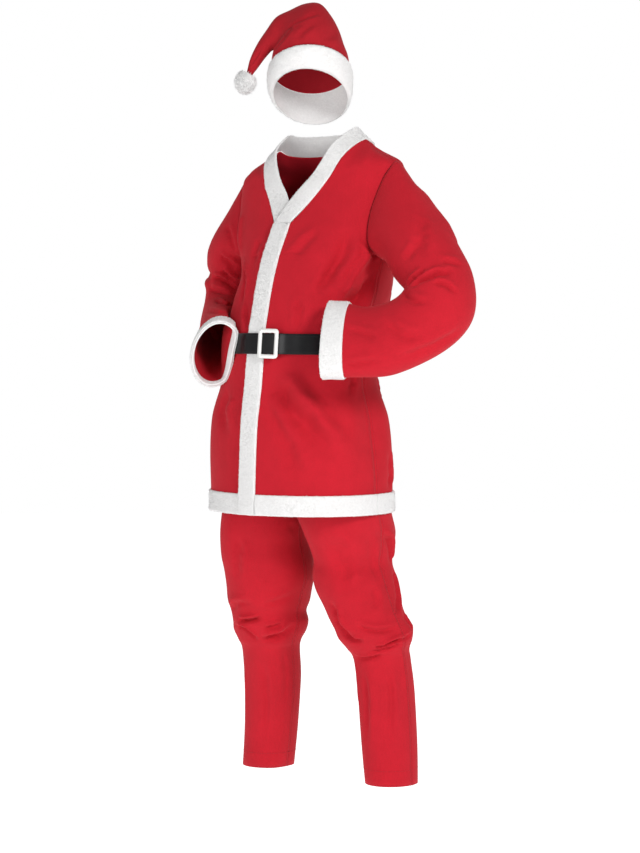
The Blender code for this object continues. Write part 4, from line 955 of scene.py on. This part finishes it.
collarLook = {"rows": 5, "columns": 5, "sunk": 0.0010, "thinned": 0.7}
placketLook = {"squeezed": 0.35, "reach": 0.055, "pressed": 0.5}


def squeezed(cloth):
    # bands are pressed flat where the belt crosses them
    share = bump(cloth.points[..., 2] - beltMiddle, placketLook["reach"])
    return 1 - placketLook["squeezed"] * share


def pressed(cloth):
    # the right front's band is thin under the left one
    return np.full(cloth.rise.shape, placketLook["pressed"])


def collarShape(cloth):
    # the right half is thin where the left half laps over it
    x, y, z = np.moveaxis(cloth.points, -1, 0)
    lapped = smoothStep(0.035 - x, 0, 0.01) * smoothStep(1.43 - z, 0, 0.02)
    return 1 - collarLook["thinned"] * lapped * (cloth.rise < 0.001)


coarseFronts = {"left": onJacket(frontGrid(), 1, True), "right": onJacket(frontGrid(), -1)}
coarseBack = mirrored(halfBackGrid())
fineFronts = {name: shapeJacket(name, cloth) for name, cloth in coarseFronts.items()}
fineBack = shapeJacket("back", coarseBack)
fineRow = {height: row * jacketLook["rows"] for row, height in enumerate(jacketHeights)}
hemRows = slice(0, fineRow[hemBandTop] + 1)
bandEnd = bandColumns * jacketLook["columns"]
for name, front in fineFronts.items():
    addShell(f"jacket_front_{name}", front.trimmed())
    addBand(f"placket_{name}", front.cut(columns=slice(0, bandEnd + 1)).trimmed(),
            (True, False, True, True),
            shape=pressed if name == "right" else squeezed)
    addBand(f"hem_band_{name}", front.cut(hemRows, slice(bandEnd, None)).trimmed(),
            (True, True, False, False))
addShell("jacket_back", fineBack.trimmed())
addBand("hem_band_back", fineBack.cut(hemRows).trimmed(),
        (True, True, False, False))
collarCloth = mirrored(collarGrid(), True).finer(collarLook["rows"], collarLook["columns"])
addBand("collar", collarCloth.trimmed(),
        under=-collarLook["sunk"], shape=collarShape)
print("jacket ready")

sleeveLook = {"rows": 8, "columns": 5, "waves": 0.0018, "folds": 1.8, "seed": 5,
              "waveRows": (2, 4), "foldRows": (0, 1.5)}
sleeveCreases = {
    "left": (
        (7, 3.4, 6.1, 5, 5.6, 6, 5, 6.5), (7.5, 4.4, 6.2, 6.2, 5.5, 9, 5.5, 7.5),
        (6.6, 6.6, 6.6, 7.8, 6.9, 9, 5, 4.5), (11, 6, 10.6, 8, 9.8, 9.2, 9, 3.5),
        (11.4, 9.8, 9.6, 10.8, 7.9, 11.4, 11, 4), (2.2, 8.2, 3.5, 7, 4.8, 6.2, 11, 3.5),
        (8.1, 3.4, 8.8, 5.8, 8.2, 7.4, 7, 3.6), (12.9, 6.2, 12.2, 7, 11.8, 7.6, 6, 2.6),
        (12.9, 10.2, 12.5, 9.6, 11.9, 9.6, 6, 2.8), (4.4, 4.4, 4, 6, 3.4, 6.8, 8, 3.2),
        (5.2, 7.4, 5.1, 8.6, 5.2, 9.6, 6, 4), (5, 0.8, 3.9, -2, 3.8, -4, 7, 5.5),
        (7, 0.8, 5.5, -1.4, 5.2, -4, 6, 5), (9.4, 0.6, 9, -1.2, 8.4, -2.8, 8, 4),
        (12.1, 17.6, 10.6, 17.2, 8.9, 16.6, 9, 3.6), (0.8, 14.8, 1.8, 15.4, 2.8, 16.6, 10, 3.6),
        (0, 17.4, 1.2, 18.2, 3.1, 19, 8, 4.5), (2.6, 14.6, 3.4, 14.6, 4.2, 14.6, 7, 3.6),
        (0.8, 11.5, 2, 11.5, 3.6, 11.2, 30, -5.5),
    ),
    "right": (
        (3.9, 2.8, 4.5, 1.6, 5.1, 0, 5, 6.5), (4.8, 4, 5, 2.2, 5.8, -0.2, 5, 6),
        (8.5, 3.2, 10.1, 1.4, 8.8, -1, 5, 5.5), (1.1, 6, 0.8, 3.4, 1.1, 1.8, 6, 4.5),
        (3, 3.2, 3.2, 2, 3.8, 0.8, 6, 4), (6.1, 4.6, 6.8, 2.8, 7.6, 0.6, 6, 3.6),
        (10, 4.8, 11.6, 2.6, 11.9, 0.8, 6, 2.6), (4.2, 9, 4.5, 10.4, 4.6, 11.8, 6, 5),
        (5.9, 6.8, 5.8, 10, 5.8, 11.8, 7, 5), (2.1, 8.8, 2.9, 10.2, 3.6, 11, 8, 4),
        (7.8, 8.6, 8.2, 10.2, 8.8, 12.2, 7, 3.4), (4.7, 4.2, 4.7, 6.2, 4.4, 8.6, 11, 5),
    ),
}
cuffLook = {"thickness": 0.0032, "edge": 0.0032, "waviness": 0.0004, "facing": 7,
            "turned": 0.0022, "lip": 0.9}
fineSleeves = {}
for name, column in (("left", 0), ("right", -1)):
    fine = sleeveCloth(armsRows[name], coarseFronts[name], coarseBack, column)
    fine = fineSleeves[name] = fine.finer(sleeveLook["rows"], sleeveLook["columns"])
    along = np.arange(len(fine.points))[:, None] / sleeveLook["rows"]
    waves = sleeveLook["waves"] * smoothStep(along, *sleeveLook["waveRows"])
    soften(fine, waves, sleeveLook["seed"])
    fade = smoothStep(along, *sleeveLook["foldRows"])
    crease(fine, sleeveCreases[name], sleeveLook, fade)
    addShell(f"sleeve_{name}", fine.cut(slice(-1)))
    addBand(f"cuff_band_{name}", fine.cut(slice(-1 - cuffRows * sleeveLook["rows"], None)),
            look=cuffLook)
    facing = fine.cut(slice(-1 - cuffLook["facing"], None))
    turned = -clothWall - layerGap
    lip = np.full(facing.rise.shape, turned)
    lip[-1] = layerGap * cuffLook["lip"]      # the band turns in over the end of the sleeve
    mesh = wallMesh(f"cuff_facing_{name}", facing, turned - cuffLook["turned"], lip)
    lining = addPiece(f"cuff_facing_{name}", mesh, plush, f"cuff_band_{name}")
    cutFrom(f"cuff_facing_{name}", facing)
print("sleeves ready")

# The inner edges are fuller at the knee and calf: height, reach and share of each.
trouserLook = {"rows": 9, "columns": 7, "waves": 0.0016, "folds": 1.5,
               "inner": {"left": -0.015, "right": 0.020}, "seeds": {"left": 11, "right": 17},
               "full": ((0.568, 0.080, 1), (0.475, 0.05, 0.15)), "innerFade": (0.02, 0.24),
               "calmTop": (0.74, 0.84), "calmInner": 10, "calmSide": 0.04, "sideShare": 0.35}
trouserCreases = {
    "left": (
        (9.7, 5.6, 12, 5.8, 14, 6.2, 14, 4), (9.7, 7.8, 11.7, 8.4, 13.7, 8.4, 11, 3.2),
        (14.3, 4.2, 16.3, 3.8, 18, 5, 9, 9), (17.2, 3.8, 17.8, 4.6, 18, 5.6, 5.5, 6),
        (16.2, 5.4, 16.8, 6.8, 16.5, 9.2, 6, 4.5), (18.8, 6, 18, 8, 17.3, 10.2, 4.5, 8),
        (19, 5.6, 18.7, 7.4, 18, 9.2, 4, 4.5), (19.8, 3.4, 19.7, 5.4, 19.3, 7, 4.5, 5),
        (9.7, 8.4, 10.8, 10, 12.3, 10.4, 8, 7), (12.5, 10.4, 14, 10.2, 15.7, 8.8, 7, 4.5),
        (13.3, 7.8, 14.2, 7.8, 15, 7.2, 9, 3), (9.3, 2.2, 10.8, 2.6, 13.2, 2.6, 8, 3.5),
        (9.7, 6.2, 11.5, 6.4, 13.7, 5.8, 12, 2.6), (15.5, 10, 16.3, 10.4, 17.3, 10.4, 5, 5),
        (20.3, 4.2, 21.3, 4.2, 22.2, 3.6, 8, 3.2), (20.2, 7, 21.2, 7, 22.2, 6.4, 7, 3),
        (19.8, 2.6, 21, 2.2, 21.8, 2.4, 6, 2.6), (15.7, 16, 16.7, 14.8, 16.2, 12.6, 6, 8),
        (18, 17.4, 18.7, 15.6, 17.7, 12.8, 5.5, 7), (20, 17.2, 19.8, 15.2, 19.2, 13.2, 5, 5),
        (10.7, 15.8, 12.8, 15.2, 14.8, 15.6, 10, 5), (10.7, 13.8, 12.5, 13, 14.2, 13.6, 9, 4.5),
        (20.5, 17, 21.5, 17, 22.5, 18, 8, 3), (20.8, 14.8, 21.7, 15, 22.5, 15.4, 7, 3),
    ),
    "right": (
        (16.8, 5, 16.7, 3.8, 16.3, 2.8, 5, 9), (18.7, 3.2, 18.2, 1.4, 17, 0, 8, 8),
        (17.5, 5.6, 17.7, 4.4, 19, 3.4, 4.5, 5.5), (14.8, 0, 15.7, 0, 16.8, 0.2, 5, 4.5),
        (16, 6.2, 15.2, 4.8, 15, 3.4, 8, 4), (15.2, 2.8, 14.8, 1.6, 14.3, 0.4, 8, 3),
        (17.5, 2.8, 17.3, 2, 17, 1.2, 5, 4.5), (9.5, 1, 10.3, 0.2, 12, 0, 8, 5),
        (10.2, 4.2, 11.7, 4.4, 13.7, 4.8, 10, 3.5), (20.2, 6.4, 21.3, 6.6, 22.2, 6.6, 7, 2.6),
        (20.3, 3.4, 21.5, 3, 22.3, 3, 8, 3), (19.8, 1.2, 21, 1, 21.7, 1.2, 6, 2.6),
        (17, 9, 17.8, 10.6, 17.3, 12.4, 6, 8), (18.8, 9.2, 18.8, 11.2, 18.2, 13.4, 5, 6.5),
        (16, 10.2, 15.5, 11.8, 15.7, 13.6, 8, 4), (11, 10, 13.3, 10.4, 15.2, 10.2, 10, 5),
        (10.8, 12, 12.7, 12, 14.7, 12.6, 9, 4.5), (20.7, 7.8, 21.5, 8.6, 22.5, 8.6, 7, 3),
        (20.5, 11.4, 21.7, 11.8, 22.8, 11.8, 8, 3),
    ),
}


def shapeLeg(name):
    # Waves and creases fade out towards the inner edges and inside the jacket, and are
    # weaker at the side seam.
    fine = legCloth(name).finer(trouserLook["rows"], trouserLook["columns"])
    height = fine.points[..., 2]
    part = np.linspace(0, 1, fine.points.shape[1])
    fromInside, fromSide = np.minimum(part, 1 - part), np.abs(part - 0.5)
    full = sum(share * bump(height - place, reach) for place, reach, share in trouserLook["full"])
    inner = 1 - smoothStep(fromInside, *trouserLook["innerFade"])
    fine.points[..., 0] += trouserLook["inner"][name] * inner * full
    calm = np.minimum(1, trouserLook["calmInner"] * fromInside)
    calm = calm * (1 - smoothStep(height, *trouserLook["calmTop"]))
    least, side = trouserLook["sideShare"], smoothStep(fromSide, 0, trouserLook["calmSide"])
    calm = calm * (least + (1 - least) * side)
    soften(fine, trouserLook["waves"], trouserLook["seeds"][name])
    crease(fine, trouserCreases[name], trouserLook, 1)
    fine.rise = fine.rise * calm
    return fine


def waistRing():
    rows = slice(fineRow[beltBottom], fineRow[beltTop] + 1)
    ring = fineFronts["left"].cut(rows).joined(fineBack.cut(rows, slice(1, None)))
    ring = ring.joined(fineFronts["right"].cut(rows, slice(-2, bandEnd, -1)))
    ring.rise = np.zeros(ring.rise.shape)
    ring.closed = True
    return ring


fineLegs = {name: shapeLeg(name) for name in ("left", "right")}
legSide = legHalfColumns * trouserLook["columns"]
for name, leg in fineLegs.items():
    front, back = f"trouser_front_{name}", f"trouser_back_{name}"
    addShell(front, leg.cut(columns=slice(0, legSide + 1)).trimmed())
    addShell(back, leg.cut(columns=slice(legSide, None)).trimmed())
waistOutside = -clothWall - layerGap
addShell("waistband", waistRing(),
         inner=waistOutside - clothWall, outer=waistOutside)
print("trousers ready")

strapLook = {"thickness": beltThickness, "edge": 0.0011, "waviness": 0.0}
strap = waistRing()
x, y, z = np.moveaxis(strap.points, -1, 0)
strap.rise = np.where(y < 0, beltStandoff.at(x)[0], strapGap)
addBand("belt_strap", strap, under=0.0, look=strapLook,
        counts=(9, 260), finish=vinyl)

buckleLook = {"rounding": 0.0009, "steps": 3}


def addBuckle():
    # the frame and its bar, with every edge rounded
    solid = bmesh.new()
    solid.from_mesh(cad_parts["belt_buckle"].data)
    bmesh.ops.remove_doubles(solid, verts=solid.verts, dist=1e-6)
    bmesh.ops.dissolve_limit(solid, angle_limit=math.radians(2), verts=solid.verts,
                             edges=solid.edges)
    sharp = [edge for edge in solid.edges
             if edge.is_manifold and edge.calc_face_angle() > math.radians(35)]
    bmesh.ops.bevel(solid, geom=sharp, offset=buckleLook["rounding"], segments=buckleLook["steps"],
                    affect="EDGES", clamp_overlap=True)
    bmesh.ops.triangulate(solid, faces=solid.faces)
    mesh = bpy.data.meshes.new("belt_buckle")
    solid.to_mesh(mesh)
    solid.free()
    addPiece("belt_buckle_rounded", mesh, plastic, "belt_buckle")


addBuckle()
print("belt ready")

hatLook = {"rows": 6, "columns": 6, "waves": 0.0007, "folds": 1.0, "seed": 23,
           "foot": (0, 2), "tip": (9, 11)}
hatBandLook = {"thickness": 0.0066, "edge": 0.0080, "waviness": 0.0007, "sunk": 0.0014}
hatCreases = (
    (4, 2.3, 4.5, 4.3, 5.7, 5.7, 5, 4.5), (6.7, 4.2, 2.2, 6.7, 1.5, 8.2, 4.5, 2.4),
    (3.3, 3.2, 2.3, 4.7, 0.2, 5.5, 7, 3.5), (2.8, 1.3, 1.5, 2.7, 0.3, 3.8, 8, 2.6),
    (9.7, 4, 10.5, 4.2, 11.5, 2.8, 4, 2.6), (4.7, 16.2, 5.5, 14.3, 6, 12.7, 6, 4),
    (3.8, 16.8, 3.8, 15, 4.2, 13.7, 7, 3.4), (7.3, 12, 9.7, 12.7, 10.8, 13.3, 4.5, 3),
)
crown = hatCloth(crownRows).finer(hatLook["rows"], hatLook["columns"])
along = np.arange(len(crown.points))[:, None] / hatLook["rows"]
waves = hatLook["waves"] * smoothStep(along, *hatLook["foot"])
soften(crown, waves * (1 - smoothStep(along, *hatLook["tip"])), hatLook["seed"])
crease(crown, hatCreases, hatLook, 1)
crown = crown.joined(crown.cut(columns=slice(0, 1)))
half = hatHalfColumns * hatLook["columns"]
for name, other, columns in (("front", "back", slice(0, half + 1)),
                             ("back", "front", slice(half, None))):
    addShell(f"hat_crown_{name}", crown.cut(columns=columns).trimmed(rows=False),
             shadedHatFelt)
addBand("hat_band", hatCloth(bandRows).finer(hatLook["rows"], hatLook["columns"]),
        under=-hatBandLook["sunk"], look=hatBandLook)
print("hat ready")


def startTree(name, *inputs):
    # a tree with named inputs, each by its name, kind and value
    tree = bpy.data.node_groups.new(name, "GeometryNodeTree")
    for label, kind, value in (("Geometry", "Geometry", None), *inputs):
        socket = tree.interface.new_socket(label, in_out="INPUT", socket_type=f"NodeSocket{kind}")
        if value is not None:
            socket.default_value = value
    tree.interface.new_socket("Geometry", in_out="OUTPUT", socket_type="NodeSocketGeometry")
    given = tree.nodes.new("NodeGroupInput")
    return tree, {socket.name: Wire(tree, socket) for socket in given.outputs}


def endTree(tree, placed, finish):
    real = node(tree, "GeometryNodeRealizeInstances", {"Geometry": placed})
    done = node(tree, "GeometryNodeSetMaterial", {"Geometry": real, "Material": finish})
    setInputs(tree.nodes.new("NodeGroupOutput"), {"Geometry": done})
    return tree


def grow(tree, mesh, settings):
    # runs the tree on a mesh and gives its plain mesh back
    holder = addObject("holder", mesh)
    modifier = holder.modifiers.new(tree.name, "NODES")
    modifier.node_group = tree
    keys = {item.name: item.identifier for item in tree.interface.items_tree
            if item.in_out == "INPUT"}
    for label, value in settings.items():
        modifier[keys[label]] = value
    holder.update_tag()
    seen = holder.evaluated_get(bpy.context.evaluated_depsgraph_get())
    grown = bpy.data.meshes.new_from_object(seen)
    holder.modifiers.remove(modifier)
    bpy.data.objects.remove(holder)
    return grown


def stitchTree():
    # oval stitches along the lines of a mesh
    tree, given = startTree("stitches", ("Spacing", "Float", 0.005),
                            ("Stitch length", "Float", 0.0035), ("Thread radius", "Float", 0.0004),
                            ("Thread", "Material", None))
    path = node(tree, "GeometryNodeMeshToCurve", {"Mesh": given["Geometry"]})
    even = node(tree, "GeometryNodeResampleCurve", {"Curve": path, "Length": given["Spacing"]},
                mode="LENGTH")
    tangent = node(tree, "GeometryNodeInputTangent")
    turn = node(tree, "FunctionNodeAlignRotationToVector", {"Vector": tangent}, axis="Z")
    thread = node(tree, "GeometryNodeMeshUVSphere", {"Segments": 6, "Rings": 4})
    radius = given["Thread radius"]
    size = node(tree, "ShaderNodeCombineXYZ",
                {"X": radius, "Y": radius, "Z": given["Stitch length"] * 0.5})
    placed = node(tree, "GeometryNodeInstanceOnPoints",
                  {"Points": even, "Instance": thread, "Rotation": turn, "Scale": size})
    return endTree(tree, placed, given["Thread"])


def pileTree():
    # locks that stand on the outside of a mesh, leaning and sized at random
    tree, given = startTree("pile", ("Density", "Float", 100000.0), ("Lock length", "Float", 0.004),
                            ("Lock radius", "Float", 0.001), ("Ruffle", "Float", 0.6),
                            ("Seed", "Int", 3), ("Pile", "Material", None))
    outside = node(tree, "GeometryNodeInputNamedAttribute", {"Name": "outside"}, data_type="FLOAT")
    points = node(tree, "GeometryNodeDistributePointsOnFaces",
                  {"Mesh": given["Geometry"], "Density": outside * given["Density"],
                   "Seed": given["Seed"]})
    turned = node(tree, "FunctionNodeRandomValue",
                  {0: (-1, -1, -1), 1: (1, 1, 1), "Seed": given["Seed"]}, data_type="FLOAT_VECTOR")
    tilt = node(tree, "ShaderNodeVectorMath", {0: turned, "Scale": given["Ruffle"]},
                operation="SCALE")
    leaning = node(tree, "ShaderNodeVectorMath", {0: points.beside("Normal"), 1: tilt},
                   operation="ADD")
    turn = node(tree, "FunctionNodeAlignRotationToVector", {"Vector": leaning}, axis="Z")
    lock = node(tree, "GeometryNodeMeshCone",
                {"Vertices": 3, "Depth": given["Lock length"],
                 "Radius Bottom": given["Lock radius"]}, fill_type="NONE")
    varied = node(tree, "FunctionNodeRandomValue", {2: 0.55, 3: 1.0, "Seed": given["Seed"]},
                  output=1, data_type="FLOAT")
    placed = node(tree, "GeometryNodeInstanceOnPoints",
                  {"Points": points, "Instance": lock, "Rotation": turn, "Scale": varied})
    return endTree(tree, placed, given["Pile"])


pileLook = {"Density": 120000.0, "Lock length": 0.0022, "Lock radius": 0.0010, "Ruffle": 0.75,
            "Seed": 3}
pile = pileTree()
for name, piece in trimPieces.items():
    addPiece(f"{name}_pile", grow(pile, piece.data.copy(), {**pileLook, "Pile": plush}), plush)
print("pile ready")

pompomLook = {"Density": 700000.0, "Lock length": 0.0085, "Lock radius": 0.0009, "Ruffle": 0.8,
              "Seed": 8}
# Its seat is how far its centre is pressed towards the hat's tip, where it is bare.
pompomShape = {"centre": (-0.1429, 0, 1.658), "core": 0.0185, "taller": 1.15, "seat": 0.0020,
               "bare": 0.80}


def addPompom():
    inX, inHeight, outX, outHeight = np.array(crownRows[-1][:4]) / metre
    tip = hatFrame @ Vector(((inX + outX) / 2, 0, (inHeight + outHeight) / 2))
    place = hatFrame @ Vector(pompomShape["centre"])
    toTip = (tip - place).normalized()
    place += toTip * pompomShape["seat"] - Vector((0, 0, neckHeight))
    ball = bmesh.new()
    bmesh.ops.create_icosphere(ball, subdivisions=4, radius=pompomShape["core"])
    for vert in ball.verts:
        x, y, z = vert.co.normalized()
        uneven = (math.sin(9 * x + 5 * z) + math.sin(8 * y - 7 * z + 1)
                  + math.sin(13 * z + 6 * x + 2))
        vert.co *= 1.06 + 0.03 * uneven
    bmesh.ops.scale(ball, vec=(1, 1, pompomShape["taller"]), verts=ball.verts)
    grown = ball.verts.layers.float.new("outside")
    for vert in ball.verts:
        vert[grown] = float(vert.co.normalized().dot(toTip) < pompomShape["bare"])
    core = bpy.data.meshes.new("pompom core")
    ball.to_mesh(core)
    ball.from_mesh(grow(pile, core, {**pompomLook, "Pile": fluff}))
    bmesh.ops.translate(ball, vec=place, verts=ball.verts)
    whole = bpy.data.meshes.new("pompom")
    ball.to_mesh(whole)
    ball.free()
    addPiece("hat_pompom_soft", whole, fluff, "hat_pompom")


addPompom()
print("pompom ready")

seamLook = {"Spacing": 0.0060, "Stitch length": 0.0042, "Thread radius": 0.00034}
strapSeamLook = {"Spacing": 0.0048, "Stitch length": 0.0034, "Thread radius": 0.00032}
seamLift, sleeveLift, strapLift = 0.0003, 0.0004, beltThickness + 0.0001     # over the cloth
stitches = stitchTree()


def addStitches(name, lines, thread, look):
    points, edges = [], []
    for path in lines:
        edges += [(len(points) + k, len(points) + k + 1) for k in range(len(path) - 1)]
        points += (path - (0, 0, neckHeight)).tolist()
    mesh = bpy.data.meshes.new(name)
    mesh.from_pydata(points, edges, [])
    addPiece(name, grow(stitches, mesh, {**look, "Thread": thread}), thread)


def ringLine(cloth, row, lift):
    layer = cloth.layer(lift)
    return np.vstack([layer[row], layer[row, :1]])


sideRows = slice(hemRows.stop, fineRow[underarmHeight])
redLines = []
for front in fineFronts.values():
    layer = front.layer(seamLift)
    shoulder = bandEnd + necklineColumns * jacketLook["columns"]
    redLines += [layer[sideRows, -2], layer[-3, shoulder:]]
layer = fineBack.layer(seamLift)
redLines += [layer[sideRows, 1], layer[sideRows, -2]]
redLines += [ringLine(sleeve, 1, sleeveLift) for sleeve in fineSleeves.values()]
for leg in fineLegs.values():
    layer = leg.layer(seamLift)
    redLines += [layer[:, column] for column in (1, legSide - 1, legSide + 1, -2)] + [layer[-4]]
addStitches("red_seams", redLines, redThread, seamLook)
strapLines = [ringLine(strap, row, strapLift) for row in (1, -2)]
addStitches("strap_seams", strapLines, blackThread, strapSeamLook)
print("sewing ready")

stageLook = {"radius": 9.0, "sides": 96, "tones": ((0.90, 0.90, 0.90), (0.93, 0.93, 0.93)),
             "glow": 0.75}
floorMesh = bpy.data.meshes.new("floor")
around = np.linspace(0, 2 * math.pi, stageLook["sides"], endpoint=False)
reach = stageLook["radius"]
rim = [(reach * math.cos(a), reach * math.sin(a), -neckHeight) for a in around]
floorMesh.from_pydata(rim, [], [list(range(len(rim)))])
floorFinish, place = startMaterial("studio floor")
setInputs(floorFinish.node_tree.nodes["Principled BSDF"],
          {"Base Color": mixColour(noise(place, 1.5), *stageLook["tones"]), "Roughness": 1.0,
           "Emission Color": (1, 1, 1), "Emission Strength": stageLook["glow"]})
floorMesh.materials.append(floorFinish)
addObject("floor", floorMesh)


def pointAt(thing, place, aim):
    thing.location = place
    thing.rotation_euler = (Vector(aim) - Vector(place)).to_track_quat("-Z", "Y").to_euler()


lightLook = {
    "key": {"place": (3.5, -1.2, 1.2), "aim": (0, 0, -0.5), "size": 1.0, "power": 86},
    "fill": {"place": (0.2, -4.2, 0.2), "aim": (0, 0, -0.6), "size": 2.2, "power": 44},
    "back": {"place": (-2.6, 2.8, 2.2), "aim": (0, 0, -0.4), "size": 2.2, "power": 26},
}
for name, look in lightLook.items():
    light = bpy.data.lights.new(name, "AREA")
    light.shape, light.size, light.energy = "DISK", look["size"], look["power"]
    pointAt(addObject(name, light), look["place"], look["aim"])
world = bpy.context.scene.world = bpy.data.worlds.new("studio")
world.use_nodes = True
shine = node(world.node_tree, "ShaderNodeLightPath") * 0.65 + 0.35
setInputs(world.node_tree.nodes["Background"], {"Color": (1, 1, 1), "Strength": shine})
bpy.context.scene.view_settings.view_transform = "Standard"
bpy.context.scene.view_settings.look = "None"

cameraLook = {"place": (3.857, -4.596, -0.32), "aim": (0.0034, 0.0028, -0.6011), "lens": 113.95}
lens = bpy.data.cameras.new("camera")
lens.lens, lens.sensor_width, lens.clip_end = cameraLook["lens"], 36, 60
camera = addObject("camera", lens)
pointAt(camera, cameraLook["place"], cameraLook["aim"])
bpy.context.scene.camera = camera

bpy.context.view_layer.update()
print("stage ready")
